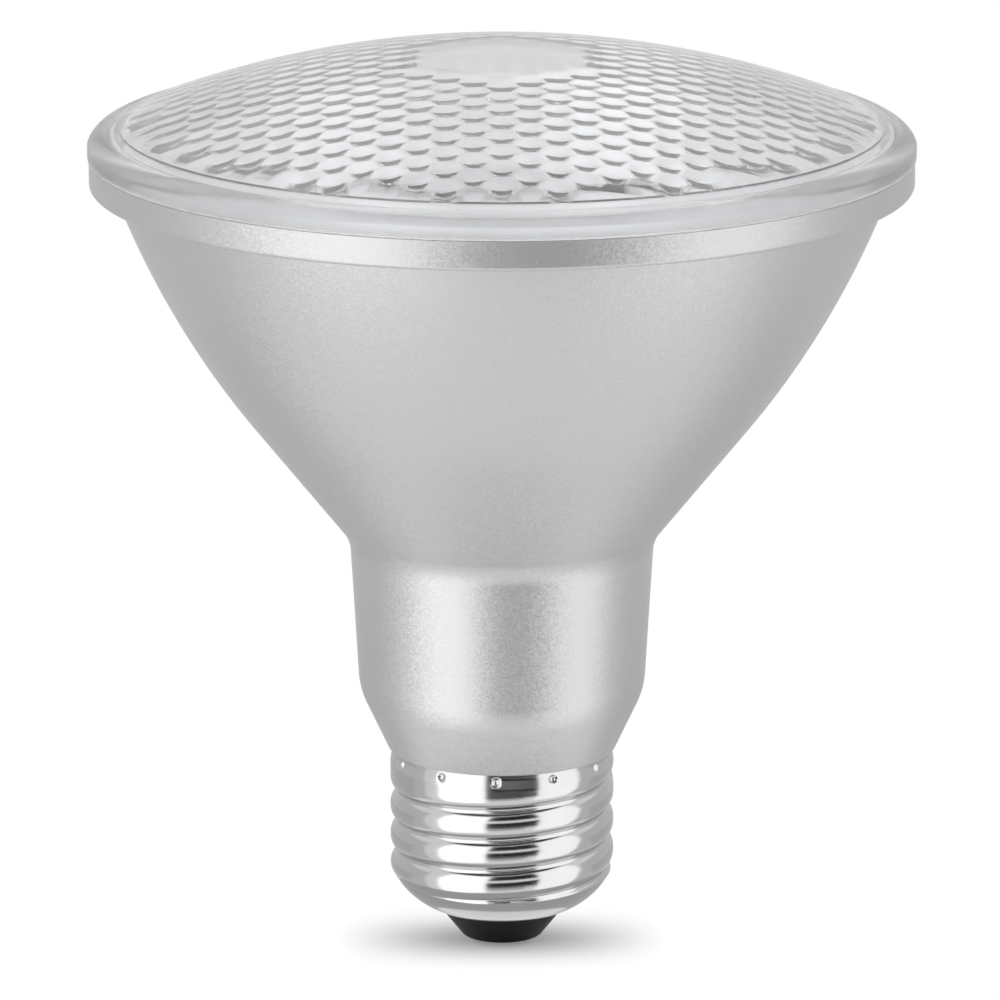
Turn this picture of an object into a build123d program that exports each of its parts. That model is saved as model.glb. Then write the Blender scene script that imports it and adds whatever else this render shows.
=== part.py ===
from build123d import *
import os
from math import atan2, hypot, sqrt, tan

# Reflector lamp with a domed honeycomb lens and a medium screw base, in millimetres.
# The lamp's axis is Z, the lens faces up, and the origin is the tip of the centre contact.

# Centre contact and base insulator
contact_radius = 4.2
contact_height = 0.9
stem_radius = 1.5
stem_reach = 1.0
stem_clearance = 0.1
insulator_tip_radius = 4.7
insulator_tip_edge = 0.5
insulator_height = 3.8
insulator_depth = 3.4
insulator_clearance = 0.1

# Screw shell with its rolled right-hand thread, plain collar and stake marks
mouth_radius = 8.3
shell_bowl_height = 4.7
shell_bowl_bend = 9.0
shell_height = 19.3
shell_wall = 0.5
thread_radius = 13.1
thread_pitch = 3.629
thread_depth = 0.7
thread_turns = 4
crest_land = 0.3
groove_floor = 0.3
run_out_radius = 8.0
run_out_angle = 30
collar_step = 0.2
collar_height = 1.8
collar_land = 0.1
stake_count = 12
stake_turn = -3
stake_radius = 0.55
stake_depth = 0.3
stake_drop = 0.85

# Housing, from the seam with the shell up to the rim
housing_wall = 2.0
foot_radius = 13.3
foot_edge = 0.3
foot_ring_height = 2.0
shoulder_height = 7.2
shoulder_bend = 3.0
neck_foot_radius = 16.65
neck_top_radius = 17.7
neck_height = 18.1
throat_bend = 2.5
cone_height = 13.9
cone_top_radius = 28.8
bowl_height = 28.05
bowl_top_radius = 44.6
rim_step = 2.75
rim_height = 3.35
rim_edge = 0.5
rim_wall = 2.05
ledge_thickness = 1.8
spigot_length = 3.0
spigot_wall = 1.6
spigot_clearance = 0.15

# Lens: edge wall, rounded shoulder, narrow land, dome, spigot and honeycomb
lens_overhang = 0.15
lens_edge_height = 1.5
lens_shoulder_width = 2.3
lens_shoulder_rise = 1.5
lens_shoulder_bulge = 0.45
land_width = 1.3
land_rise = 0.4
land_step = 0.25
dome_rise = 8.5
lens_thickness = 2.4
lens_spigot_wall = 1.2
lens_spigot_clearance = 0.2
seal_thickness = 0.7
pattern_margin = 2.3
lenslet_side = 2.02
lenslet_height = 0.5
lenslet_step = 0.1
lenslet_root = 0.4
smooth_rings = 3

# Light engine: heat sink cup, LED board, LED packages, screws and reflector
heat_sink_gap = 0.2
heat_sink_wall = 1.5
plate_rise = 6.2
plate_thickness = 2.0
led_board_clearance = 1.5
led_board_thickness = 1.6
pin_hole_radius = 2.4
led_size = 3.0
led_height = 0.7
led_window_radius = 1.2
led_window_depth = 0.15
led_edge_gap = 4.6
led_ring_gap = 4.4
inner_led_count = 4
outer_led_count = 8
screw_edge_gap = 0.5
screw_count = 2
screw_radius = 1.4
screw_head_radius = 2.5
screw_head_height = 1.7
screw_clearance = 0.1
screw_slot_width = 0.6
screw_slot_depth = 0.7
reflector_wall = 1.4
reflector_seat = 2.4
reflector_clearance = 0.5
reflector_bowl_gap = 2.4
reflector_flange_thickness = 1.0
reflector_flange_width = 1.0

# Driver: upright board in the rails of the neck, and its components
driver_thickness = 1.6
driver_half_width = 13.0
driver_foot_rise = 1.0
driver_tongue_half_width = 8.2
driver_tongue_drop = 9.0
rail_overlap = 1.4
rail_width = 1.2
rail_clearance = 0.15
part_clearance = 0.05
core_width = 10.2
core_height = 11.0
core_depth = 5.0
core_leg_width = 2.2
winding_depth = 9.0
winding_gap = 0.2
core_offset = -1.5
core_drop = 7.5
can_radius = 3.15
can_length = 11.0
can_edge = 0.5
can_crimp_depth = 0.35
can_crimp_rise = 1.6
can_rise = 4.0
film_width = 9.0
film_height = 8.0
film_depth = 5.0
film_edge = 0.8
film_offset = 4.0
chip_width = 4.0
chip_height = 5.0
chip_depth = 1.5
chip_offset = -5.5
chip_drop = 4.5
leg_length = 1.0
leg_width = 0.4
leg_height = 0.7
leg_pitch = 1.27
leg_count = 4
rectifier_width = 4.0
rectifier_height = 4.7
rectifier_depth = 1.6
rectifier_drop = 12.5
rectifier_leg_pitch = 2.5
rectifier_leg_count = 2
fuse_radius = 1.5
fuse_length = 7.0
fuse_cap_length = 1.2
fuse_cap_lip = 0.15
fuse_offset = 4.0
fuse_rise = 6.0
pin_radius = 0.5
pin_spacing = 2.54
pin_overlap = 4.0
socket_length = 6.4
socket_width = 5.2
socket_height = 3.0
socket_clearance = 0.1
lead_radius = 0.6
lead_overlap = 3.0
lead_clearance = 0.1

# Heights of the main levels, worked out from the sizes above
edge_z = contact_height + insulator_height
shell_bowl_z = edge_z + shell_bowl_height
seam_z = edge_z + shell_height
collar_z = seam_z - collar_height
neck_z = seam_z + shoulder_height
throat_z = neck_z + neck_height
cone_z = throat_z + cone_height
rim_z = cone_z + bowl_height
ledge_z = rim_z + ledge_thickness
rim_top_z = rim_z + rim_height
spigot_z = seam_z - spigot_length
stem_top_z = edge_z + insulator_depth + stem_reach
plate_z = throat_z + plate_rise
led_board_z = plate_z + plate_thickness
led_board_top_z = led_board_z + led_board_thickness

# Radii that fit one piece to another
collar_radius = thread_radius - collar_step
bore_radius = thread_radius - thread_depth - shell_wall
spigot_radius = bore_radius - spigot_clearance
spigot_bore_radius = spigot_radius - spigot_wall
rim_radius = bowl_top_radius + rim_step
rim_bore_radius = rim_radius - rim_wall
ledge_bore_radius = bowl_top_radius - housing_wall
lens_radius = rim_radius + lens_overhang
lens_shoulder_radius = lens_radius - lens_shoulder_width
dome_foot_radius = lens_shoulder_radius - land_width
pattern_radius = dome_foot_radius - pattern_margin
lens_spigot_radius = rim_bore_radius - lens_spigot_clearance
lens_spigot_bore_radius = lens_spigot_radius - lens_spigot_wall
rail_inner = driver_half_width - rail_overlap
rail_outer = neck_foot_radius - housing_wall / 2

# The driver board lies behind the axis, so that the live lead runs straight down the axis along its face
driver_face_y = lead_radius + part_clearance
driver_back_y = driver_face_y + driver_thickness
driver_middle_y = driver_face_y + driver_thickness / 2
driver_top_z = throat_z
driver_foot_z = neck_z + driver_foot_rise
tongue_z = seam_z - driver_tongue_drop

os.makedirs("parts", exist_ok=True)


def bend_centre(start, end, radius):
    """Centre of the arc of a radius that bulges to the right on its way from start to end."""
    along = (end - start).normalized()
    half_chord = (end - start).length / 2
    across = Vector(-along.Y, along.X)
    return (start + end) / 2 + across * sqrt(radius**2 - half_chord**2)


# The shell's bowl is one bent sheet: its inside and the insulator in it are arcs about the same centre
bowl_low = Vector(mouth_radius, edge_z)
bowl_high = Vector(thread_radius, shell_bowl_z)
bowl_centre = bend_centre(bowl_low, bowl_high, shell_bowl_bend)


def on_shell_bowl(point, inset):
    """The point of the shell's bowl, moved inwards by inset, that faces a point of the section."""
    return bowl_centre + (point - bowl_centre).normalized() * (shell_bowl_bend - inset)


def shell_bowl_at_height(z, inset):
    """The point at height z on the shell's bowl moved inwards by inset."""
    drop = bowl_centre.Y - z
    return Vector(bowl_centre.X + sqrt((shell_bowl_bend - inset) ** 2 - drop**2), z)


def shell_bowl_at_radius(radius, inset):
    """The point at a radius on the shell's bowl moved inwards by inset."""
    out = radius - bowl_centre.X
    return Vector(radius, bowl_centre.Y - sqrt((shell_bowl_bend - inset) ** 2 - out**2))


def on_cone(z, inset):
    """Radius at height z of a cone that lies inset inside the housing's straight cone."""
    slope = (cone_top_radius - neck_top_radius) / cone_height
    return neck_top_radius + (z - throat_z) * slope - inset * hypot(1, slope)


# Centre contact: a shallow cap with a stem through the insulator
with BuildPart() as centre_contact:
    with BuildSketch(Plane.XZ):
        with BuildLine():
            TangentArc((0, 0), (contact_radius, contact_height), tangent=(1, 0))
            Polyline(
                (contact_radius, contact_height),
                (stem_radius, contact_height),
                (stem_radius, stem_top_z),
                (0, stem_top_z),
                (0, 0),
            )
        make_face()
    revolve(axis=Axis.Z)
centre_contact.part.label = "centre_contact"
export_step(centre_contact.part, "parts/centre_contact.step")

# Base insulator: a button that fills the bowl of the shell and tapers down to the contact
insulator_inset = shell_wall + insulator_clearance
insulator_bore = stem_radius + stem_clearance
insulator_low = on_shell_bowl(bowl_low, insulator_inset)
insulator_high = shell_bowl_at_height(edge_z + insulator_depth, insulator_inset)
with BuildPart() as base_insulator:
    with BuildSketch(Plane.XZ):
        with BuildLine():
            Polyline(
                insulator_high,
                (insulator_bore, insulator_high.Y),
                (insulator_bore, contact_height),
                (insulator_tip_radius, contact_height),
                insulator_low,
            )
            insulator_middle = on_shell_bowl((insulator_low + insulator_high) / 2, insulator_inset)
            ThreePointArc(insulator_low, insulator_middle, insulator_high)
        make_face()
    revolve(axis=Axis.Z)
    tip_edges = base_insulator.edges().filter_by(GeomType.CIRCLE).group_by(Axis.Z)[0]
    fillet(tip_edges.sort_by(SortBy.RADIUS)[-1], radius=insulator_tip_edge)
base_insulator.part.label = "base_insulator"
export_step(base_insulator.part, "parts/base_insulator.step")

# Screw shell: bowl, thread cylinder and collar turned in one, then the groove that leaves the round crests
groove_half_width = (thread_pitch - crest_land) / 2
groove_top_z = collar_z - collar_land - groove_half_width
groove_rise = thread_turns * thread_pitch
crest_half_width = groove_half_width - groove_floor / 2
crest_radius = (crest_half_width**2 + thread_depth**2) / (2 * thread_depth)
inner_low = on_shell_bowl(bowl_low, shell_wall)
inner_high = shell_bowl_at_radius(bore_radius, shell_wall)


def groove_plane(path, end):
    """Plane across the groove at an end of its path, with its x axis pointing away from the lamp's axis."""
    place = path @ end
    return Plane(origin=place, x_dir=(place.X, place.Y, 0), z_dir=path % end)


def groove_outline():
    """Section of the groove: a narrow floor, two flanks that round over into the crests, and room outside."""
    flank_x = crest_radius - sqrt(crest_radius**2 - (crest_half_width / 2) ** 2)
    flank_y = groove_half_width - crest_half_width / 2
    for side in (1, -1):
        ThreePointArc(
            (-thread_depth, side * groove_floor / 2),
            (-flank_x, side * flank_y),
            (0, side * groove_half_width),
        )
        Line((0, side * groove_half_width), (thread_depth, side * groove_half_width))
    Line((-thread_depth, groove_floor / 2), (-thread_depth, -groove_floor / 2))
    Line((thread_depth, groove_half_width), (thread_depth, -groove_half_width))


with BuildPart() as screw_shell:
    with BuildSketch(Plane.XZ):
        with BuildLine():
            ThreePointArc(bowl_low, on_shell_bowl((bowl_low + bowl_high) / 2, 0), bowl_high)
            Polyline(
                bowl_high,
                (thread_radius, collar_z),
                (collar_radius, collar_z),
                (collar_radius, seam_z),
                (bore_radius, seam_z),
                inner_high,
            )
            ThreePointArc(inner_high, on_shell_bowl((inner_low + inner_high) / 2, shell_wall), inner_low)
            Line(inner_low, bowl_low)
        make_face()
    revolve(axis=Axis.Z)
    with BuildLine(Plane.XY.offset(groove_top_z - groove_rise)) as groove:
        Helix(pitch=thread_pitch, height=groove_rise, radius=thread_radius)
    with BuildSketch(groove_plane(groove.line, 0)):
        with BuildLine():
            groove_outline()
        make_face()
    sweep(path=groove.line, is_frenet=True, mode=Mode.SUBTRACT)
    end_plane = groove_plane(groove.line, 1)
    with BuildSketch(end_plane):
        with BuildLine():
            groove_outline()
        make_face()
    run_out_axis = Axis(end_plane.from_local_coords((run_out_radius, 0, 0)), end_plane.y_dir)
    revolve(axis=run_out_axis, revolution_arc=run_out_angle, mode=Mode.SUBTRACT)
    with Locations((0, 0, seam_z - stake_drop)):
        with PolarLocations(collar_radius - stake_depth + stake_radius, stake_count, start_angle=stake_turn):
            Sphere(stake_radius, mode=Mode.SUBTRACT)
screw_shell.part.label = "screw_shell"
export_step(screw_shell.part, "parts/screw_shell.step")

# Housing: shoulder, neck, cone and bowl turned and shelled, then foot ring, spigot, rim and rails
with BuildPart() as housing:
    with BuildSketch(Plane.XZ):
        with BuildLine():
            Polyline(
                (0, seam_z),
                (foot_radius, seam_z),
                (neck_foot_radius, neck_z),
                (neck_top_radius, throat_z),
                (cone_top_radius, cone_z),
            )
            cone_direction = (cone_top_radius - neck_top_radius, cone_height)
            TangentArc((cone_top_radius, cone_z), (bowl_top_radius, rim_z), tangent=cone_direction)
            Polyline((bowl_top_radius, rim_z), (0, rim_z), (0, seam_z))
        make_face()
    revolve(axis=Axis.Z)
    turned_edges = housing.edges().filter_by(GeomType.CIRCLE)
    fillet(turned_edges.sort_by_distance((neck_foot_radius, 0, neck_z))[0], radius=shoulder_bend)
    turned_edges = housing.edges().filter_by(GeomType.CIRCLE)
    fillet(turned_edges.sort_by_distance((neck_top_radius, 0, throat_z))[0], radius=throat_bend)
    offset(amount=-housing_wall, openings=housing.faces().filter_by(Axis.Z))
    with BuildSketch(Plane.XZ):
        with BuildLine():
            Polyline(
                (spigot_bore_radius, spigot_z),
                (spigot_radius, spigot_z),
                (spigot_radius, seam_z),
                (foot_radius, seam_z),
                (foot_radius, seam_z + foot_ring_height),
                (spigot_bore_radius, seam_z + foot_ring_height),
                close=True,
            )
        make_face()
    revolve(axis=Axis.Z)
    with BuildSketch(Plane.XZ):
        with BuildLine():
            Polyline(
                (ledge_bore_radius, rim_z),
                (rim_radius, rim_z),
                (rim_radius, rim_top_z),
                (rim_bore_radius, rim_top_z),
                (rim_bore_radius, ledge_z),
                (ledge_bore_radius, ledge_z),
                close=True,
            )
        make_face()
    revolve(axis=Axis.Z)
    outer_edges = housing.edges().filter_by(GeomType.CIRCLE)
    fillet(outer_edges.sort_by_distance((rim_radius, 0, rim_z))[0], radius=rim_edge)
    outer_edges = housing.edges().filter_by(GeomType.CIRCLE)
    fillet(outer_edges.sort_by_distance((foot_radius, 0, seam_z))[0], radius=foot_edge)
    rail_x = (rail_inner + rail_outer) / 2
    rail_y = driver_thickness / 2 + rail_clearance + rail_width / 2
    with BuildSketch(Plane.XY.offset(neck_z)):
        with Locations((0, driver_middle_y)):
            with GridLocations(2 * rail_x, 2 * rail_y, 2, 2):
                Rectangle(rail_outer - rail_inner, rail_width)
    extrude(amount=driver_top_z - neck_z)
housing.part.label = "housing"
export_step(housing.part, "parts/housing.step")

# Lens: the turned dome with its edge and spigot
lens_shoulder_z = rim_top_z + lens_edge_height + lens_shoulder_rise
land_top_z = lens_shoulder_z + land_rise
dome_foot_z = land_top_z + land_step
dome_radius = (dome_foot_radius**2 + dome_rise**2) / (2 * dome_rise)
dome_centre_z = dome_foot_z + dome_rise - dome_radius
inner_dome_radius = dome_radius - lens_thickness
lens_spigot_z = ledge_z + seal_thickness


def inner_dome_z(radius):
    """Height of the lens's inside at a distance from the axis."""
    return dome_centre_z + sqrt(inner_dome_radius**2 - radius**2)


def dome_middle(sphere_radius, reach):
    """The point half way out to reach on a dome about the lens's centre of curvature."""
    half = reach / 2
    return (half, dome_centre_z + sqrt(sphere_radius**2 - half**2))


# Honeycomb: hexagons with two flats across the lamp, in columns along Y. Rows and columns are counted from the
# middle, where a hexagon of smooth_rings rings is left smooth.
def honeycomb_cells():
    """Middles of the pillow lenses that lie whole inside the pattern's radius."""
    column_pitch = 1.5 * lenslet_side
    row_pitch = sqrt(3) * lenslet_side
    reach = int(pattern_radius / column_pitch) + 1
    cells = []
    for column in range(-reach, reach + 1):
        for row in range(-2 * reach, 2 * reach + 1):
            rings = max(abs(column), abs(row), abs(column + row))
            middle = Vector(column * column_pitch, (row + column / 2) * row_pitch)
            if rings > smooth_rings and middle.length + lenslet_side <= pattern_radius:
                cells.append(middle)
    return cells


def at_depth(point, depth):
    """The point of the lens's inside above or below a place in plan, moved down by depth."""
    return Vector(point.X, point.Y, inner_dome_z(hypot(point.X, point.Y)) - depth)


def corner_place(corner):
    """Whole steps from the middle to a corner of the honeycomb, along half a side and half a row."""
    return (round(2 * corner.X / lenslet_side), round(2 * corner.Y / (sqrt(3) * lenslet_side)))


def lenslet_field():
    """One solid of all pillow lenses: six facets to each, rooted in the lens and walled round its edges."""
    corner_turns = [Vector(lenslet_side, 0).rotate(Axis.Z, 60 * turn) for turn in range(6)]
    facets = []
    sides = {}
    for middle in honeycomb_cells():
        corners = [middle + turn for turn in corner_turns]
        for start, end in zip(corners, corners[1:] + corners[:1]):
            for depth_middle, depth_edge in ((lenslet_height, lenslet_step), (-lenslet_root, -lenslet_root)):
                facets.append((at_depth(middle, depth_middle), at_depth(start, depth_edge), at_depth(end, depth_edge)))
            side = frozenset((corner_place(start), corner_place(end)))
            sides.setdefault(side, []).append((start, end))
    for neighbours in sides.values():
        if len(neighbours) == 1:
            start, end = neighbours[0]
            low = [at_depth(start, lenslet_step), at_depth(end, lenslet_step)]
            high = [at_depth(end, -lenslet_root), at_depth(start, -lenslet_root)]
            facets.append(tuple(low + high))
    return Solid(Shell([Face(Wire.make_polygon(facet)) for facet in facets]))


with BuildPart() as lens:
    with BuildSketch(Plane.XZ):
        with BuildLine():
            ThreePointArc(
                (0, dome_centre_z + dome_radius),
                dome_middle(dome_radius, dome_foot_radius),
                (dome_foot_radius, dome_foot_z),
            )
            Polyline(
                (dome_foot_radius, dome_foot_z),
                (dome_foot_radius, land_top_z),
                (lens_shoulder_radius, lens_shoulder_z),
            )
            SagittaArc(
                (lens_shoulder_radius, lens_shoulder_z),
                (lens_radius, rim_top_z + lens_edge_height),
                lens_shoulder_bulge,
            )
            Polyline(
                (lens_radius, rim_top_z + lens_edge_height),
                (lens_radius, rim_top_z),
                (lens_spigot_radius, rim_top_z),
                (lens_spigot_radius, lens_spigot_z),
                (lens_spigot_bore_radius, lens_spigot_z),
                (lens_spigot_bore_radius, inner_dome_z(lens_spigot_bore_radius)),
            )
            ThreePointArc(
                (lens_spigot_bore_radius, inner_dome_z(lens_spigot_bore_radius)),
                dome_middle(inner_dome_radius, lens_spigot_bore_radius),
                (0, dome_centre_z + inner_dome_radius),
            )
            Line((0, dome_centre_z + inner_dome_radius), (0, dome_centre_z + dome_radius))
        make_face()
    revolve(axis=Axis.Z)
    add(lenslet_field())
lens.part.label = "lens"
export_step(lens.part, "parts/lens.step")

# Seal: a flat ring on the rim's ledge, under the lens spigot
with BuildPart() as lens_seal:
    with BuildSketch(Plane.XY.offset(ledge_z)):
        Circle(lens_spigot_radius)
        Circle(lens_spigot_bore_radius, mode=Mode.SUBTRACT)
    extrude(amount=seal_thickness)
lens_seal.part.label = "lens_seal"
export_step(lens_seal.part, "parts/lens_seal.step")

# The light engine is laid out from the housing's cone inwards: heat sink, board, reflector's foot, screws, LEDs
sink_outer_inset = housing_wall + heat_sink_gap
sink_inner_inset = sink_outer_inset + heat_sink_wall
led_board_radius = on_cone(led_board_z, sink_inner_inset) - led_board_clearance
reflector_foot = led_board_radius - reflector_seat
screw_circle = reflector_foot - screw_edge_gap - screw_head_radius
outer_led_circle = reflector_foot - led_edge_gap
inner_led_circle = outer_led_circle - led_ring_gap

# Heat sink: a cup that sits in the housing's cone, with a floor for the LED board
with BuildPart() as heat_sink:
    with BuildSketch(Plane.XZ):
        with BuildLine():
            Polyline(
                (pin_hole_radius, plate_z),
                (on_cone(plate_z, sink_outer_inset), plate_z),
                (on_cone(cone_z, sink_outer_inset), cone_z),
                (on_cone(cone_z, sink_inner_inset), cone_z),
                (on_cone(led_board_z, sink_inner_inset), led_board_z),
                (pin_hole_radius, led_board_z),
                close=True,
            )
        make_face()
    revolve(axis=Axis.Z)
    with Locations((0, 0, led_board_z)):
        with PolarLocations(screw_circle, screw_count):
            Hole(screw_radius + screw_clearance, depth=plate_thickness)
heat_sink.part.label = "heat_sink"
export_step(heat_sink.part, "parts/heat_sink.step")

# LED board: a round metal-core board screwed to the floor of the heat sink
with BuildPart() as led_board:
    with BuildSketch(Plane.XY.offset(led_board_z)):
        Circle(led_board_radius)
        Circle(pin_hole_radius, mode=Mode.SUBTRACT)
        with PolarLocations(screw_circle, screw_count):
            Circle(screw_radius + screw_clearance, mode=Mode.SUBTRACT)
    extrude(amount=led_board_thickness)
led_board.part.label = "led_board"
export_step(led_board.part, "parts/led_board.step")

# LED packages: an inner and an outer ring, each with a round window
led_rings = (
    (inner_led_circle, inner_led_count),
    (outer_led_circle, outer_led_count),
)
with BuildPart() as leds:
    with BuildSketch(Plane.XY.offset(led_board_top_z)):
        for circle, count in led_rings:
            with PolarLocations(circle, count, start_angle=180 / count):
                Rectangle(led_size, led_size)
    extrude(amount=led_height)
    with BuildSketch(Plane.XY.offset(led_board_top_z + led_height)):
        for circle, count in led_rings:
            with PolarLocations(circle, count, start_angle=180 / count):
                Circle(led_window_radius)
    extrude(amount=-led_window_depth, mode=Mode.SUBTRACT)
leds.part.label = "leds"
export_step(leds.part, "parts/leds.step")

# Screws of the LED board: rounded heads with a cross slot
with BuildPart() as board_screws:
    with BuildSketch(Plane.XY.offset(plate_z)):
        with PolarLocations(screw_circle, screw_count):
            Circle(screw_radius)
    extrude(amount=led_board_top_z - plate_z)
    with BuildSketch(Plane.XY.offset(led_board_top_z)):
        with PolarLocations(screw_circle, screw_count):
            Circle(screw_head_radius)
    extrude(amount=screw_head_height)
    head_edges = board_screws.edges().filter_by(GeomType.CIRCLE).group_by(Axis.Z)[-1]
    fillet(head_edges, radius=screw_head_height / 2)
    with BuildSketch(Plane.XY.offset(led_board_top_z + screw_head_height)):
        with PolarLocations(screw_circle, screw_count):
            Rectangle(screw_head_radius, screw_slot_width)
            Rectangle(screw_slot_width, screw_head_radius)
    extrude(amount=-screw_slot_depth, mode=Mode.SUBTRACT)
board_screws.part.label = "board_screws"
export_step(board_screws.part, "parts/board_screws.step")

# Reflector: a cup from the LED board up to a flange on the rim's ledge. Half way up it keeps a gap to the bowl,
# whose outer arc leaves the cone along the cone's own direction.
reflector_mouth = ledge_bore_radius - reflector_wall - reflector_clearance
reflector_flange_radius = ledge_bore_radius + reflector_flange_width
bowl_chord = Vector(bowl_top_radius - cone_top_radius, bowl_height)
bowl_turn = atan2(bowl_chord.Y, bowl_chord.X) - atan2(cone_height, cone_top_radius - neck_top_radius)
bowl_inwards = Vector(-bowl_chord.Y, bowl_chord.X).normalized()
bowl_bulge = bowl_chord.length / 2 * tan(bowl_turn / 2)
bowl_middle = Vector(cone_top_radius, cone_z) + bowl_chord / 2 - bowl_inwards * bowl_bulge


def cup_curve(shift):
    """Foot, middle and mouth of the reflector's curve, moved outwards by shift from its bright side."""
    inset = housing_wall + reflector_bowl_gap + reflector_wall - shift
    return (
        (reflector_foot + shift, led_board_top_z),
        bowl_middle + bowl_inwards * inset,
        (reflector_mouth + shift, ledge_z),
    )


with BuildPart() as reflector:
    with BuildSketch(Plane.XZ):
        with BuildLine():
            ThreePointArc(*cup_curve(0))
            Polyline(
                (reflector_mouth, ledge_z),
                (reflector_mouth, ledge_z + reflector_flange_thickness),
                (reflector_flange_radius, ledge_z + reflector_flange_thickness),
                (reflector_flange_radius, ledge_z),
                (reflector_mouth + reflector_wall, ledge_z),
            )
            ThreePointArc(*cup_curve(reflector_wall))
            Line((reflector_foot + reflector_wall, led_board_top_z), (reflector_foot, led_board_top_z))
        make_face()
    revolve(axis=Axis.Z)
reflector.part.label = "reflector"
export_step(reflector.part, "parts/reflector.step")

# Driver board: wide between the rails of the neck, with a tongue down into the spigot
with BuildPart() as driver_board:
    with BuildSketch(Plane.XZ.offset(-driver_back_y)):
        with BuildLine():
            Polyline(
                (-driver_half_width, driver_top_z),
                (driver_half_width, driver_top_z),
                (driver_half_width, driver_foot_z),
                (driver_tongue_half_width, driver_foot_z),
                (driver_tongue_half_width, tongue_z),
                (-driver_tongue_half_width, tongue_z),
                (-driver_tongue_half_width, driver_foot_z),
                (-driver_half_width, driver_foot_z),
                close=True,
            )
        make_face()
    extrude(amount=driver_thickness)
driver_board.part.label = "driver_board"
export_step(driver_board.part, "parts/driver_board.step")

# Planes of the two faces of the driver board, each with its normal away from the board
back_face = Plane(origin=(0, driver_back_y, 0), x_dir=(-1, 0, 0), z_dir=(0, 1, 0))
front_face = Plane(origin=(0, driver_face_y, 0), x_dir=(1, 0, 0), z_dir=(0, -1, 0))

# Transformer: a ferrite frame round a winding that stands off the board
core_z = driver_top_z - core_drop
window_width = core_width - 2 * core_leg_width
window_height = core_height - 2 * core_leg_width
core_rise = (winding_depth - core_depth) / 2
with BuildPart() as transformer_core:
    with BuildSketch(back_face.offset(core_rise)):
        with Locations((-core_offset, core_z)):
            Rectangle(core_width, core_height)
            Rectangle(window_width, window_height, mode=Mode.SUBTRACT)
    extrude(amount=core_depth)
transformer_core.part.label = "transformer_core"
export_step(transformer_core.part, "parts/transformer_core.step")

with BuildPart() as transformer_winding:
    with BuildSketch(back_face):
        with Locations((-core_offset, core_z)):
            RectangleRounded(window_width - 2 * winding_gap, window_height - 2 * winding_gap, core_leg_width / 2)
    extrude(amount=winding_depth)
transformer_winding.part.label = "transformer_winding"
export_step(transformer_winding.part, "parts/transformer_winding.step")

# Electrolytic capacitor: a can along the tongue, with a crimp near its foot
can_y = driver_back_y + part_clearance + can_radius
can_z = tongue_z + can_rise
with BuildPart() as electrolytic_capacitor:
    with BuildSketch(Plane(origin=(0, can_y, can_z), x_dir=(1, 0, 0), z_dir=(0, 0, 1))):
        Circle(can_radius)
    extrude(amount=can_length)
    fillet(electrolytic_capacitor.edges().filter_by(GeomType.CIRCLE), radius=can_edge)
    with BuildSketch(Plane(origin=(0, can_y, can_z + can_crimp_rise), z_dir=(0, 0, 1))):
        Circle(can_radius)
        Circle(can_radius - can_crimp_depth, mode=Mode.SUBTRACT)
    extrude(amount=can_crimp_depth, both=True, mode=Mode.SUBTRACT)
electrolytic_capacitor.part.label = "electrolytic_capacitor"
export_step(electrolytic_capacitor.part, "parts/electrolytic_capacitor.step")

# Film capacitor: a rounded block on the front of the board
film_z = (driver_top_z + driver_foot_z) / 2
with BuildPart() as film_capacitor:
    with BuildSketch(front_face):
        with Locations((film_offset, film_z)):
            Rectangle(film_width, film_height)
    extrude(amount=film_depth)
    fillet(film_capacitor.edges().filter_by(Axis.Y), radius=film_edge)
film_capacitor.part.label = "film_capacitor"
export_step(film_capacitor.part, "parts/film_capacitor.step")


def chip_package(width, height, depth, centre_z, legs, pitch):
    """A flat package on the front of the board, with a row of legs down each side."""
    with BuildPart() as package:
        with BuildSketch(front_face):
            with Locations((chip_offset, centre_z)):
                Rectangle(width, height)
        extrude(amount=depth)
        with BuildSketch(front_face):
            with Locations((chip_offset, centre_z)):
                with GridLocations(width + leg_length, pitch, 2, legs):
                    Rectangle(leg_length, leg_width)
        extrude(amount=leg_height)
    return package.part


# Driver chip and bridge rectifier, one above the other
driver_chip = chip_package(
    chip_width, chip_height, chip_depth, driver_top_z - chip_drop, leg_count, leg_pitch
)
driver_chip.label = "driver_chip"
export_step(driver_chip, "parts/driver_chip.step")

bridge_rectifier = chip_package(
    rectifier_width,
    rectifier_height,
    rectifier_depth,
    driver_top_z - rectifier_drop,
    rectifier_leg_count,
    rectifier_leg_pitch,
)
bridge_rectifier.label = "bridge_rectifier"
export_step(bridge_rectifier, "parts/bridge_rectifier.step")

# Fuse resistor: a body with two end caps, on the front of the tongue
fuse_y = driver_face_y - part_clearance - fuse_radius - fuse_cap_lip
fuse_z = tongue_z + fuse_rise
with BuildPart() as fuse_resistor:
    with BuildSketch(Plane(origin=(fuse_offset, fuse_y, fuse_z), z_dir=(0, 0, 1))):
        Circle(fuse_radius)
    extrude(amount=fuse_length)
    for cap_z in (fuse_z, fuse_z + fuse_length - fuse_cap_length):
        with BuildSketch(Plane(origin=(fuse_offset, fuse_y, cap_z), z_dir=(0, 0, 1))):
            Circle(fuse_radius + fuse_cap_lip)
        extrude(amount=fuse_cap_length)
fuse_resistor.part.label = "fuse_resistor"
export_step(fuse_resistor.part, "parts/fuse_resistor.step")

# Output pins: from the front of the driver board up into the socket on the LED board
with BuildPart() as output_pins:
    with BuildSketch(Plane.XY.offset(driver_top_z - pin_overlap)):
        with Locations((0, driver_face_y - part_clearance - pin_radius)):
            with GridLocations(pin_spacing, 0, 2, 1):
                Circle(pin_radius)
    extrude(amount=led_board_top_z + socket_height - driver_top_z + pin_overlap)
output_pins.part.label = "output_pins"
export_step(output_pins.part, "parts/output_pins.step")

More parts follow.
